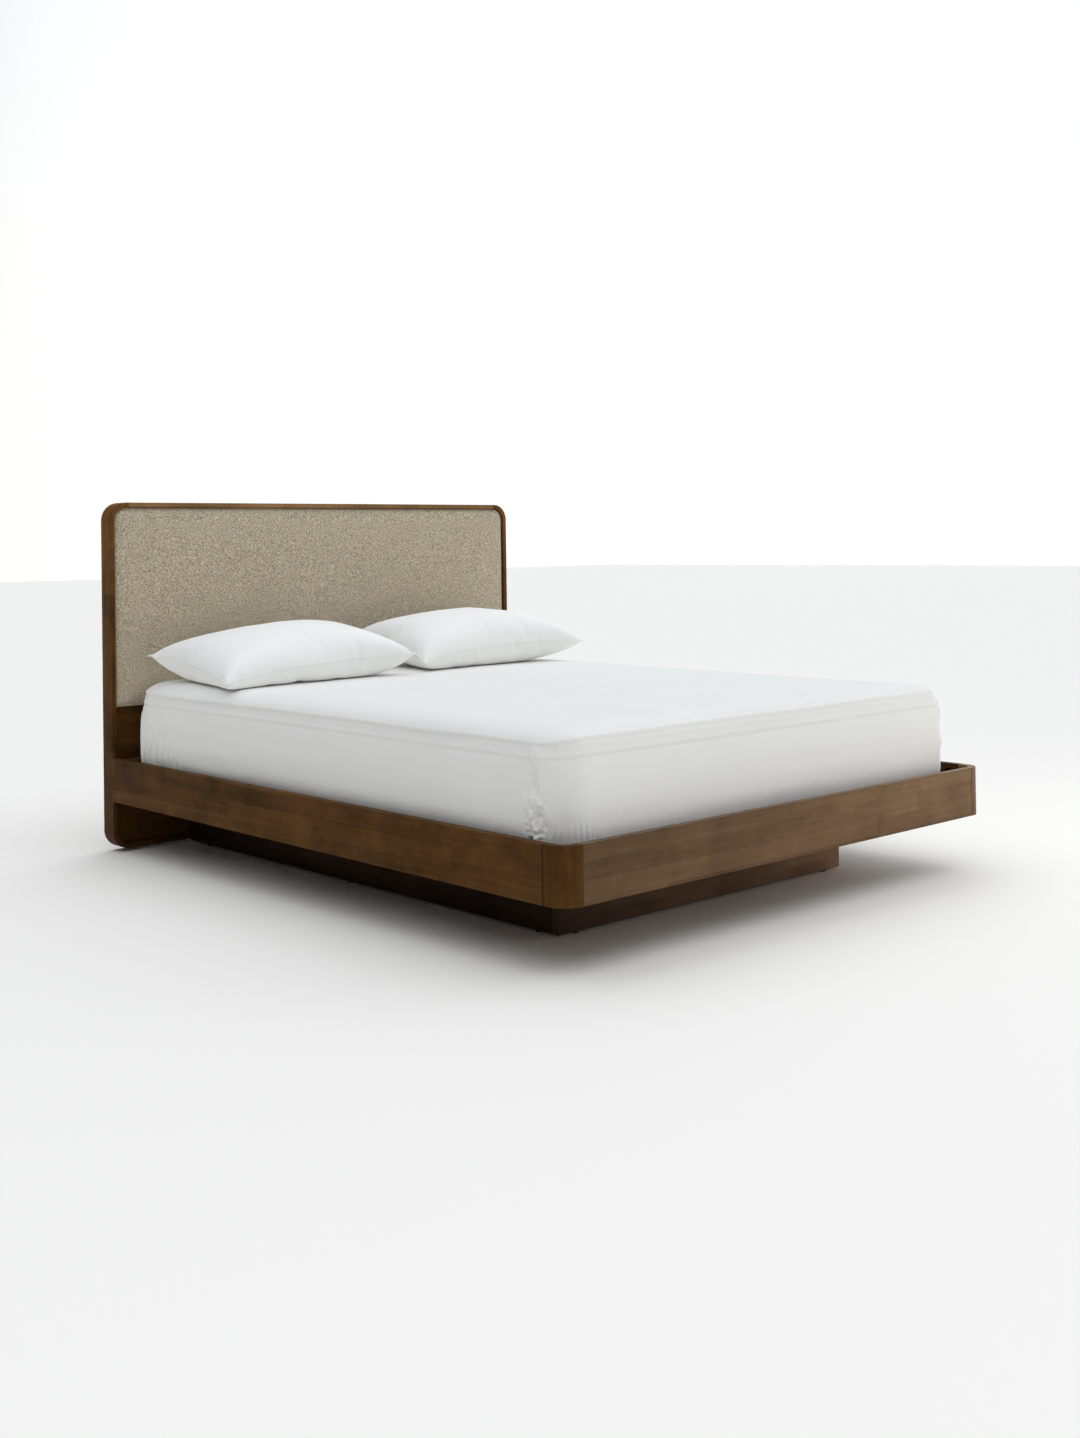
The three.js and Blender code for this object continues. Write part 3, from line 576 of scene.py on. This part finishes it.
class Plan:
    """A rounded rectangle. All its rings, at any inset, have the same columns.

    Columns go round anticlockwise from the middle of the corner at -X, -Y. radii are those of the
    corners at (-X, -Y), (+X, -Y), (+X, +Y) and (-X, +Y)."""

    CORNERS = ((-1, -1), (1, -1), (1, 1), (-1, 1))

    def __init__(self, half_x, half_y, radii, fine, coarse, zone, least_radius):
        self.half = (half_x, half_y)
        self.radii = radii
        self.least_radius = least_radius
        corner, along, angle, self.starts = [], [], [], []
        arc_steps = 2 * max(2, round(max(radii) * math.pi / 4 / fine))
        for i in range(4):
            self.starts.append(len(corner))
            middle = -135 + 90 * i
            length = 2 * self.half[i % 2] - 2 * max(radii)
            steps = graded(length, fine, coarse, zone)
            for k in range(arc_steps // 2):
                corner.append(i)
                along.append(0.0)
                angle.append(middle + 90 * k / arc_steps)
            for share in steps[:-1]:
                corner.append(i)
                along.append(share)
                angle.append(middle + 45)
            for k in range(arc_steps // 2):
                corner.append((i + 1) % 4)
                along.append(0.0)
                angle.append(middle + 45 + 90 * k / arc_steps)
        self.corner = np.array(corner)
        self.along = np.array(along)
        turn = np.radians(angle)
        self.normal = np.stack([np.cos(turn), np.sin(turn)], 1)
        self.count = len(corner)
        edge = self.ring(0)
        steps = np.linalg.norm(np.roll(edge, -1, 0) - edge, axis=1)
        self.distance = np.concatenate([[0], np.cumsum(steps)[:-1]])
        self.around = steps.sum()

    def ring(self, inset):
        radii = np.maximum(np.array(self.radii) - inset, self.least_radius)
        half = np.array(self.half) - inset
        centres = np.array(self.CORNERS) * (half - radii[:, None])
        start, end = self.corner, (self.corner + 1) % 4
        share = self.along[:, None]
        centre = centres[start] * (1 - share) + centres[end] * share
        radius = radii[start] * (1 - self.along) + radii[end] * self.along
        return centre + self.normal * radius[:, None]

    def to_corner(self, offsets=(0, 0, 0, 0)):
        """Signed distance round the edge to the nearest mark by a corner, and that corner's number."""
        marks = self.distance[self.starts] + np.array(offsets)
        gaps = self.distance[:, None] - marks[None, :]
        gaps = (gaps + self.around / 2) % self.around - self.around / 2
        nearest = np.abs(gaps).argmin(1)
        return gaps[np.arange(self.count), nearest], nearest

    def fill(self, ring):
        """A grid that fills a ring, by blending its four sides, and each grid point's ring column."""
        marks = [*self.starts, self.count]
        columns = [np.arange(marks[i], marks[i + 1] + 1) % self.count for i in range(4)]
        low, right, high, left = [ring[c] for c in columns]
        high, left = high[::-1], left[::-1]
        u, v = [self.shares(side) for side in (low, left)]
        u, v = u[None, :, None], v[:, None, None]
        sides = (1 - v) * low[None] + v * high[None] + (1 - u) * left[:, None] + u * right[:, None]
        ends = (1 - u) * (1 - v) * low[0] + u * (1 - v) * low[-1]
        ends = ends + (1 - u) * v * high[0] + u * v * high[-1]
        owner = -np.ones((len(left), len(low)), int)
        owner[0], owner[-1] = columns[0], columns[2][::-1]
        owner[:, -1], owner[:, 0] = columns[1], columns[3][::-1]
        return sides - ends, owner

    @staticmethod
    def shares(line):
        steps = np.linalg.norm(np.diff(line, axis=0), axis=1)
        return np.concatenate([[0], np.cumsum(steps)]) / steps.sum()


def grid_faces(index, upward=True):
    """The faces of a grid, from the numbers of its vertices."""
    quads = [index[:-1, :-1], index[:-1, 1:], index[1:, 1:], index[1:, :-1]]
    quads = np.stack([q.ravel() for q in quads], 1)
    return quads if upward else quads[:, ::-1]


def mesh_from(name, points, faces):
    mesh = bpy.data.meshes.new(name)
    mesh.from_pydata(points.tolist(), [], faces.tolist())
    mesh.update()
    return mesh


def smooth_shading(mesh):
    mesh.polygons.foreach_set("use_smooth", [True] * len(mesh.polygons))
    mesh.update()


def add_shell(name, plan, rows, caps=()):
    """A mesh from rings of points. caps are (row, grid, owner, faces up) to close it."""
    count = plan.count
    points = [rows.reshape(-1, 3)]
    total = rows.shape[0] * count
    faces = []
    column = np.arange(count)
    beside = (column + 1) % count
    for r in range(rows.shape[0] - 1):
        a, b = r * count, (r + 1) * count
        faces.append(np.stack([a + column, b + column, b + beside, a + beside], 1))
    for row, grid, owner, upward in caps:
        index = np.empty(owner.shape, int)
        index[owner >= 0] = row * count + owner[owner >= 0]
        inner = owner < 0
        index[inner] = total + np.arange(inner.sum())
        points.append(grid[inner])
        total += inner.sum()
        faces.append(grid_faces(index, upward))
    mesh = mesh_from(name, np.concatenate(points), np.concatenate(faces))
    smooth_shading(mesh)
    return add_object(name, mesh)


class Ripple:
    """Smooth random values in space, between about -1 and 1, the same on each run."""

    SIZE = 64

    def __init__(self, seed):
        self.table = np.random.default_rng(seed).uniform(-1, 1, (self.SIZE,) * 3)

    def __call__(self, points, lengths):
        scaled_points = np.asarray(points) / np.asarray(lengths)
        whole = np.floor(scaled_points).astype(int)
        share = scaled_points - whole
        share = share * share * (3 - 2 * share)
        total = 0
        for corner in np.ndindex(2, 2, 2):
            weight = np.prod(np.where(corner, share, 1 - share), axis=-1)
            i, j, k = np.moveaxis((whole + corner) % self.SIZE, -1, 0)
            total = total + weight * self.table[i, j, k]
        return total


def smooth_step(value, low, high):
    share = np.clip((value - low) / (high - low), 0, 1)
    return share * share * (3 - 2 * share)


def hump(value, width):
    return np.exp(-((value / width) ** 2))


def curve_through(stops, spacing):
    """Points at an even spacing along a smooth curve through the stops, which are (inset, height)."""
    stops = np.array(stops, float)
    steps = np.linalg.norm(np.diff(stops, axis=0), axis=1)
    at = np.concatenate([[0], np.cumsum(steps)])
    slopes = np.gradient(stops, at, axis=0)
    places = np.linspace(0, at[-1], round(at[-1] / spacing) + 1)
    i = np.clip(np.searchsorted(at, places, "right") - 1, 0, len(at) - 2)
    width = (at[i + 1] - at[i])[:, None]
    t = (places - at[i])[:, None] / width
    start, end = stops[i], stops[i + 1]
    lead = (t**3 - 2 * t**2 + t) * width * slopes[i] + (t**3 - t**2) * width * slopes[i + 1]
    return (2 * t**3 - 3 * t**2 + 1) * start + (3 * t**2 - 2 * t**3) * end + lead


def extent(node):
    """The lowest corner, highest corner, middle and half size of a CAD node."""
    low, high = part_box(node)
    return low, high, (low + high) / 2, (high - low) / 2


def placed(plan_points, heights, middle, bottom):
    heights = np.broadcast_to(heights, plan_points.shape[:-1])
    flat = plan_points + np.array([middle[0], middle[1]])
    return np.concatenate([flat, heights[..., None] + bottom], -1)


def section_rings(plan, section):
    return np.stack([plan.ring(inset) for inset in section[:, 0]])


def section_normals(section):
    slope = np.gradient(section, axis=0)
    slope /= np.linalg.norm(slope, axis=1)[:, None]
    return np.stack([slope[:, 1], -slope[:, 0]], 1)


def raised_rows(plan, section, relief, middle, bottom):
    """The points of a slab's sides, each moved out from its section by its relief."""
    normals = section_normals(section)
    outward = -normals[:, :1] * relief
    plan_points = section_rings(plan, section) + plan.normal[None] * outward[..., None]
    return placed(plan_points, section[:, 1:] + normals[:, 1:] * relief, middle, bottom)


# ---- the mattress and its fitted sheet ----

SLAB_RIDES = "mattress"
COLUMN_FINE = 2.6 * MM
COLUMN_COARSE = 12 * MM
CORNER_ZONE = 0.3
LEAST_RADIUS = 22 * MM
ROW_SPACING = 4 * MM
UPPER_SEAM = 274.4 * MM  # heights above the sheet's underside
LOWER_SEAM = 238.4 * MM
# The seams' grooves and welts: the seam, how much it wanders, how far the cloth stands out, how far
# above the seam that is, and its width.
SEAM_LINES = (
    (UPPER_SEAM, 1.0, -3.0 * MM, 0, 3.2 * MM),
    (UPPER_SEAM, 1.0, 2.4 * MM, 7 * MM, 4.5 * MM),
    (LOWER_SEAM, 0.5, -2.6 * MM, 0, 3.2 * MM),
    (LOWER_SEAM, 0.5, 1.4 * MM, 7 * MM, 4.5 * MM),
)
SHEET_CLOTH = 1.1 * MM
SEAM_DROP = 11 * MM  # of the upper seam along the side at -X

# Of each corner, in the order that Plan gives them: how far its gathered seam lies from its middle, how
# large that is and the height it begins at, and how deep the pleats are.
GATHER_OFFSETS = (-55 * MM, 0, 0, 0)
GATHER_SIZES = (1, 0.55, 0.6, 0.5)
GATHER_STARTS = (0, 130 * MM, 0, 0)
PLEAT_SIZES = (5 * MM, 1.5 * MM, 14 * MM, 24 * MM)

# Of the pleats by the foot's corners and by the head's: how far from the corner they spread, the height
# they start from there, how fast that height falls away, and their pitch.
PLEAT_REACHES = np.array([0.12, 0.15])
PLEAT_TOPS = np.array([0.13, 0.21])
PLEAT_FALLS = np.array([0.3, 0.4])
PLEAT_PITCHES = np.array([15, 31]) * MM
PLEAT_MIDDLE = 0.11  # the distance from a corner at which they are deepest
HEAD_ROOM = 4 * MM  # the most the end at +Y may stand out, to pass the headboard's pad when lifted
SHEET_RADII = [105 * MM, 58 * MM, 95 * MM, 126 * MM]

# The sheet's section in millimetres: inset from its widest outline, and height above its underside.
SHEET_SECTION = [
    (120, 304.2), (90, 303), (66, 299.5), (46, 294), (30, 286.5), (19, 277.5), (15.5, 271),
    (12.5, 255), (9, 238.5), (5, 215), (1.5, 185), (0, 150), (0, 105), (0.8, 60), (7, 26), (17, 11),
    (32, 3), (60, 1.1), (90, 0.8),
]

# The mattress's own section, from the same outline and level.
MATTRESS_SECTION = [
    (120, 297), (90, 295.5), (66, 292), (48, 286.5), (34, 279), (26, 268), (21, 250), (17, 232),
    (9, 160), (9, 60), (11, 34), (15, 20), (25, 10), (44, 5.5), (70, 5), (90, 5),
]
MATTRESS_FINE = 9 * MM
MATTRESS_COARSE = 20 * MM
TAPE_HEIGHTS = (268 * MM, 34 * MM)
TAPE_RELIEF = 1.8 * MM
STITCH_HEIGHTS = (95 * MM, 150 * MM, 205 * MM)
STITCH_RELIEF = -1.2 * MM
STITCH_PITCH = 50 * MM

swell_wide = Ripple(11)
swell_small = Ripple(12)
streak_noise = Ripple(13)
pleat_noise = Ripple(14)
pucker_noise = Ripple(15)


def sheet_swell(points):
    """Slow unevenness of the mattress under the sheet."""
    wide = 2.0 * MM * swell_wide(points, (0.33, 0.33, 0.2))
    return wide + 0.7 * MM * swell_small(points, (0.1, 0.1, 0.14))


def creases(ripple, points, cell):
    """Sharp-edged random folds, from -1 to 1."""
    return 1 - 4 * np.abs(ripple(points, cell))


def seam_relief(plan, place):
    """The mattress's two seams showing through, and the cloth's drag below them."""
    height = place[..., Y]
    wave = 2.2 * MM * streak_noise(place, (0.23, 1.0, 1.0))
    wave = wave - SEAM_DROP * np.clip(-plan.normal[:, X], 0, 1)
    relief = np.zeros_like(height)
    for seam, wander, size, above, width in SEAM_LINES:
        relief += size * hump(height - seam - above - wander * wave, width)
    drag = streak_noise(place, (0.26, 0.03, 1.0)) * smooth_step(LOWER_SEAM - height, 0, 50 * MM)
    return relief + 1.3 * MM * drag * (0.6 + 0.4 * pleat_noise(place, (0.3, 0.3, 1)))


def pleat_relief(place, gap, corner):
    """Pleats that hang to the hem on both sides of each corner."""
    around, height = place[..., X], place[..., Y]
    away = np.abs(gap)
    end = (corner >= 2).astype(int)
    top = PLEAT_TOPS[end] - PLEAT_FALLS[end] * away
    size = np.array(PLEAT_SIZES)[corner] * (1 + 0.3 * pleat_noise(place, (0.04, 0.4, 1)))
    low = 1 - smooth_step(height, 0.6 * top, top * (1 + 0.3 * pleat_noise(place, (0.02, 1, 1))))
    bend = 12 * MM * pleat_noise(place, (0.05, 0.12, 1))
    ridge = 1 - np.abs(np.sin(math.pi * (around + bend) / PLEAT_PITCHES[end])) ** 0.8
    return size * (ridge - 0.3) * low * hump(away - PLEAT_MIDDLE, PLEAT_REACHES[end])


def gather_relief(place, gap, corner):
    """The gathered seam at each corner: a swelling with sharp folds and a fin of cloth beside it."""
    around, height = place[..., X], place[..., Y]
    slant = np.stack([around + 0.35 * height, height, np.zeros_like(around)], -1)
    fold = 4.5 * MM * creases(pleat_noise, slant, (26 * MM, 90 * MM, 1))
    crumple = 1 - smooth_step(height, 0.08, 0.22)
    fold += (1.6 + 3.0 * crumple) * MM * creases(pucker_noise, place, (11 * MM, 14 * MM, 1))
    fin = 5 * MM * (1 + 0.7 * pucker_noise(place, (1, 45 * MM, 1))) * hump(gap + 14 * MM, 4.0 * MM)
    gather = hump(gap, 24 * MM) * (5 * MM + fold) + fin
    gather *= smooth_step(height - np.array(GATHER_STARTS)[corner], -30 * MM, 10 * MM)
    below_seam = smooth_step(UPPER_SEAM - 4 * MM - height, 0, 20 * MM)
    return below_seam * gather * np.array(GATHER_SIZES)[corner]


def sheet_relief(plan, heights):
    """How far each point of the sheet's sides stands out."""
    around, height = np.meshgrid(plan.distance, heights)
    place = np.stack([around, height, np.zeros_like(around)], -1)
    gap, corner = plan.to_corner(GATHER_OFFSETS)
    gap, corner = gap[None, :], corner[None, :]
    relief = seam_relief(plan, place) + pleat_relief(place, gap, corner)
    relief += gather_relief(place, gap, corner)
    faces_headboard = plan.normal[:, Y] > 0.3
    return np.where(faces_headboard, np.minimum(relief, HEAD_ROOM), relief)


def add_sheet():
    low, high, middle, half = extent("fitted_sheet")
    plan = Plan(half.x, half.y, SHEET_RADII, COLUMN_FINE, COLUMN_COARSE, CORNER_ZONE, LEAST_RADIUS)
    section = curve_through(np.array(SHEET_SECTION) * MM, ROW_SPACING)
    relief = sheet_relief(plan, section[:, 1])
    relief += sheet_swell(placed(section_rings(plan, section), section[:, 1:], middle, low.z))
    rows = raised_rows(plan, section, relief, middle, low.z)
    grid, owner = plan.fill(plan.ring(section[0, 0]))
    cap = placed(grid, section[0, 1], middle, low.z)
    cap[..., Z] += sheet_swell(cap)
    sheet = add_shell("sheet_cotton_cover", plan, rows, [(0, cap, owner, True)])
    solid = sheet.modifiers.new("cloth", "SOLIDIFY")
    solid.thickness = SHEET_CLOTH
    solid.offset = -1
    sheet.data.materials.append(cotton("sheet_cotton", rgba(243, 242, 240)))
    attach(sheet, SLAB_RIDES)
    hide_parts("fitted_sheet")


def add_mattress():
    low, high, middle, half = extent("fitted_sheet")
    plan = Plan(half.x, half.y, SHEET_RADII, MATTRESS_FINE, MATTRESS_COARSE, CORNER_ZONE, LEAST_RADIUS)
    section = curve_through(np.array(MATTRESS_SECTION) * MM, ROW_SPACING)
    around, height = np.meshgrid(plan.distance, section[:, 1])
    tape = TAPE_RELIEF * sum(hump(height - level, 5 * MM) for level in TAPE_HEIGHTS)
    stitch = STITCH_RELIEF * sum(hump(height - level, 3 * MM) for level in STITCH_HEIGHTS)
    relief = tape + stitch * (0.8 + 0.2 * np.sin(math.tau * around / STITCH_PITCH))
    rows = raised_rows(plan, section, relief, middle, low.z)
    caps = []
    for row, upward in ((0, True), (len(rows) - 1, False)):
        grid, owner = plan.fill(plan.ring(section[row, 0]))
        caps.append((row, placed(grid, section[row, 1], middle, low.z), owner, upward))
    mattress = add_shell("mattress_body", plan, rows, caps)
    mattress.data.materials.append(ticking("mattress_ticking"))
    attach(mattress, SLAB_RIDES)
    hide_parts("mattress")


# ---- the headboard's pad ----

PAD_SECTION = [  # inset, and height below the pad's front, in millimetres
    (130, 0), (80, 0.6), (50, 2), (32, 4), (20, 6.4), (11, 9.6), (4.5, 13.6), (1, 18), (0, 22),
]
PAD_TURN = [(0, 3), (1, 1), (4, 0.2), (20, 0.2)]  # inset, and height above its back, in millimetres
PAD_RADII = [15 * MM, 15 * MM, 42.7 * MM, 42.7 * MM]
PAD_FINE = 4 * MM
PAD_COARSE = 12 * MM
PAD_ZONE = 0.1
PAD_LEAST_RADIUS = 4 * MM
PAD_ROW_SPACING = 3 * MM
pad_swell = Ripple(21)
pad_pull = Ripple(22)


def pad_relief(plan, section):
    """The pad's slow swell and the cloth's pull near its edge, with none at its back."""
    rings = section_rings(plan, section)
    around = np.broadcast_to(plan.distance, rings.shape[:2])
    edge = np.stack([around, np.broadcast_to(section[:, :1], around.shape), 0 * around], -1)
    near_edge = 1 - smooth_step(section[:, :1], 10 * MM, 110 * MM)
    relief = pad_bulge(rings) + 0.45 * MM * pad_pull(edge, (0.06, 0.3, 1)) * near_edge
    return relief * smooth_step(section[:, 1:], 2 * MM, 10 * MM)


def pad_bulge(points):
    spot = np.concatenate([points, np.zeros((*points.shape[:-1], 1))], -1)
    return 0.5 * MM * pad_swell(spot, (0.25, 0.25, 1))


def add_pad():
    """The pad is built lying on its back round the origin, and then stood up in the headboard."""
    low, high, middle, half = extent("upholstered_pad")
    depth = high.y - low.y
    plan = Plan(half.x, half.z, PAD_RADII, PAD_FINE, PAD_COARSE, PAD_ZONE, PAD_LEAST_RADIUS)
    front = [(inset, depth / MM - drop) for inset, drop in PAD_SECTION]
    section = curve_through(np.array(front + PAD_TURN) * MM, PAD_ROW_SPACING)
    rows = raised_rows(plan, section, pad_relief(plan, section), (0, 0), 0)
    front_grid, owner = plan.fill(plan.ring(section[0, 0]))
    front_cap = placed(front_grid, section[0, 1] + pad_bulge(front_grid), (0, 0), 0)
    back_grid, back_owner = plan.fill(plan.ring(section[-1, 0]))
    back_cap = placed(back_grid, section[-1, 1], (0, 0), 0)
    caps = [(0, front_cap, owner, True), (len(rows) - 1, back_cap, back_owner, False)]
    pad = add_shell("tweed_pad", plan, rows, caps)
    stand = Matrix.Translation((middle.x, high.y, middle.z)) @ Matrix.Rotation(math.pi / 2, 4, "X")
    pad.data.transform(stand)
    pad.data.materials.append(tweed("pad_tweed"))
    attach(pad, "bed_frame")
    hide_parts("upholstered_pad")


# ---- pillows ----

PILLOW_GRID = (64, 46)
PILLOW_FRAMES = 30
PILLOW_WEIGHT = 0.12  # the share of gravity its case is filled under
PILLOW_BOX = 6  # the power that makes its unfilled shape more or less like a box
LOWER_SHARE = 1.5  # of the lower face's depth to the upper one's
START_GAP = 3 * MM  # of the unfilled case above the sheet
# The case's cloth: negative shrinking is growth, of all of it and more of its underside.
CASE_CLOTH = {
    "quality": 8,
    "mass": 0.2,
    "tension_stiffness": 25,
    "compression_stiffness": 25,
    "shear_stiffness": 10,
    "bending_stiffness": 0.8,
    "air_damping": 2,
    "use_pressure": True,
    "uniform_pressure_force": 8.0,
    "shrink_min": -0.012,
    "shrink_max": -0.09,
    "vertex_group_shrink": "underside",
    "vertex_group_mass": "corners",
}
SEAM_BOW = 32 * MM  # of the middle of each side in from a straight line
SEAM_RADIUS = 2.0 * MM
SUPPORT_GAP = 0.5 * MM
SUPPORT_STEPS = 40
SUPPORT_MARGIN = 0.1
SWELL_LEVEL = 0.54  # the height that the swell of the sheet's top is read at
# In millimetres, of each pillow: the rise of the middle of its sides above its corners, how far each
# face stands off the seam before it is filled, and how far each corner (near left, near right, far
# right, far left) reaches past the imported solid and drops.
SEAM_RISE = {"pillow_left": 9, "pillow_right": 24}
START_DEPTH = {"pillow_left": 49, "pillow_right": 47}
EAR_REACH = {"pillow_left": (4, 30, 20, 30), "pillow_right": (4, 36, 20, 20)}
EAR_DROP = {"pillow_left": (0, 12, 0, 0), "pillow_right": (0, 0, 0, 0)}

seam_wave = Ripple(31)


def pillow_corners(node):
    """The seam's four corners: the solid's furthest vertices along the plan's diagonals, drawn out."""
    points = [np.array(v.co) for v in NODES[node].data.vertices]
    corners = []
    ways = ((-1, -1), (1, -1), (1, 1), (-1, 1))
    for (side, end), reach, drop in zip(ways, EAR_REACH[node], EAR_DROP[node]):
        corner = max(points, key=lambda p: side * p[X] + end * p[Y])
        outward = reach / math.sqrt(2)
        corners.append(corner + np.array([side * outward, end * outward, -drop]) * MM)
    return corners


def seam_surface(corners, rise, u, v):
    """A patch between four corners whose sides rise and bow inwards, like a filled case's seam."""
    front = corners[0] * (1 - u) + corners[1] * u
    back = corners[3] * (1 - u) + corners[2] * u
    seam = front * (1 - v) + back * v
    sides = ((u, 1 - v, 0, 1), (u, v, 0, -1), (v, 1 - u, 1, 0), (v, u, -1, 0))
    for along, nearness, inward_x, inward_y in sides:
        arch = 1 - np.abs(2 * along - 1) ** 3
        move = np.array([inward_x * SEAM_BOW, inward_y * SEAM_BOW, rise])
        seam = seam + arch * nearness**2 * move
    wobble = [seam_wave(seam + shift, (0.09, 0.09, 0.09)) for shift in (0, 0.31, 0.57)]
    return seam + 1.6 * MM * np.stack(wobble, -1)


def pillow_shell(node):
    corners = pillow_corners(node)
    across, along = PILLOW_GRID
    u, v = np.meshgrid(np.linspace(0, 1, across + 1), np.linspace(0, 1, along + 1))
    u, v = u[..., None], v[..., None]
    seam = seam_surface(corners, SEAM_RISE[node] * MM, u, v)
    full = np.sqrt((1 - (2 * u - 1) ** PILLOW_BOX) * (1 - (2 * v - 1) ** PILLOW_BOX))
    lift = np.array([0, 0, START_DEPTH[node] * MM])
    index = np.arange(u.size).reshape(u.shape[:2])
    lower = index.copy()
    inner = np.zeros(index.shape, bool)
    inner[1:-1, 1:-1] = True
    lower[inner] = u.size + np.arange(inner.sum())
    upper_points = (seam + full * lift).reshape(-1, 3)
    lower_points = (seam - LOWER_SHARE * full * lift)[inner]
    points = np.concatenate([upper_points, lower_points])
    points[:, Z] = np.maximum(points[:, Z], sheet_top(points) + START_GAP)
    mesh = mesh_from(node, points, np.concatenate([grid_faces(index), grid_faces(lower, False)]))
    edge = [*index[0, :-1], *index[:-1, -1], *index[-1, :0:-1], *index[:0:-1, 0]]
    ends = [index[0, 0], index[0, -1], index[-1, -1], index[-1, 0]]
    pillow = add_object(node + "_case", mesh)
    for name, chosen in (("seam", edge), ("corners", ends), ("underside", lower[inner].ravel())):
        pillow.vertex_groups.new(name=name).add([int(i) for i in chosen], 1.0, "REPLACE")
    return pillow, [int(i) for i in edge]


def sheet_top(points):
    """The height of the sheet's upper face at each point."""
    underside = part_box("fitted_sheet")[0].z
    return underside + SHEET_SECTION[0][1] * MM + sheet_swell(points * (1, 1, 0) + (0, 0, SWELL_LEVEL))


def add_support(low, high):
    """The piece of the bed a pillow is filled on."""
    across = np.linspace(low.x, high.x, SUPPORT_STEPS)
    along = np.linspace(low.y, high.y, SUPPORT_STEPS)
    x, y = np.meshgrid(across, along)
    points = np.stack([x.ravel(), y.ravel(), np.zeros(x.size)], 1)
    points[:, Z] = sheet_top(points) - SUPPORT_GAP
    index = np.arange(x.size).reshape(x.shape)
    support = add_object("support", mesh_from("support", points, grid_faces(index)))
    support.modifiers.new("collision", "COLLISION")
    support.collision.thickness_outer = 1 * MM
    return support


def fill_pillow(pillow, node):
    """Blows the case up by cloth simulation, held at its corners, on the bed."""
    low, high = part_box(node)
    margin = Vector((SUPPORT_MARGIN, SUPPORT_MARGIN, 0))
    support = add_support(low - margin, high + margin)
    cloth = pillow.modifiers.new("cloth", "CLOTH")
    for name, value in CASE_CLOTH.items():
        setattr(cloth.settings, name, value)
    cloth.settings.effector_weights.gravity = PILLOW_WEIGHT
    cloth.collision_settings.distance_min = 1 * MM
    cloth.point_cache.frame_end = PILLOW_FRAMES
    scene = bpy.context.scene
    for number in range(1, PILLOW_FRAMES + 1):
        scene.frame_set(number)
    settled = pillow.evaluated_get(bpy.context.evaluated_depsgraph_get())
    mesh = bpy.data.meshes.new_from_object(settled)
    pillow.modifiers.clear()
    pillow.data = mesh
    bpy.data.objects.remove(support)
    scene.frame_set(1)


def add_pillow(node, body):
    pillow, edge = pillow_shell(node)
    fill_pillow(pillow, node)
    seam = [pillow.data.vertices[i].co.copy() for i in edge]
    smooth_shading(pillow.data)
    calm = pillow.modifiers.new("calm", "SMOOTH")
    calm.factor = 0.5
    calm.iterations = 3
    calm.vertex_group = "seam"
    calm.invert_vertex_group = True
    finer = pillow.modifiers.new("finer", "SUBSURF")
    finer.levels = finer.render_levels = 2
    cloth = NODES[node].data.materials[0]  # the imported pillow's own material, which is one plain colour
    pillow.data.materials.append(cloth)
    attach(pillow, body)
    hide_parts(node)
    add_piping(node, body, cloth, seam)


def add_piping(node, body, cloth, seam):
    """The covered cord along a pillow's seam."""
    curve = bpy.data.curves.new(node + "_piping", "CURVE")
    curve.dimensions = "3D"
    curve.bevel_depth = SEAM_RADIUS
    curve.bevel_resolution = 2
    spline = curve.splines.new("POLY")
    spline.points.add(len(seam) - 1)
    spline.use_cyclic_u = True
    for point, place in zip(spline.points, seam):
        point.co = (*place, 1)
    piping = add_object(node + "_piping", curve)
    curve.materials.append(cloth)
    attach(piping, body)


# ---- the whole scene ----

add_camera()
add_world()
add_floor()
add_area_light("key", *KEY_LAMP)
add_area_light("front", *FRONT_LAMP)
bpy.context.scene.view_settings.view_transform = "Standard"

# The lighter walnut for eased edges is a painted highlight.
edge_highlight_walnut = wood("walnut_edge_highlight", Z, EDGE_HIGHLIGHT_WALNUT, staves=BROAD_STAVES)
dress_headboard(edge_highlight_walnut)
dress_rails(edge_highlight_walnut)
dress_plinth()
dress_slat_deck()
dress_fittings()
add_mattress()
add_sheet()
add_pad()
add_pillow("pillow_left", "left_pillow")
add_pillow("pillow_right", "right_pillow")
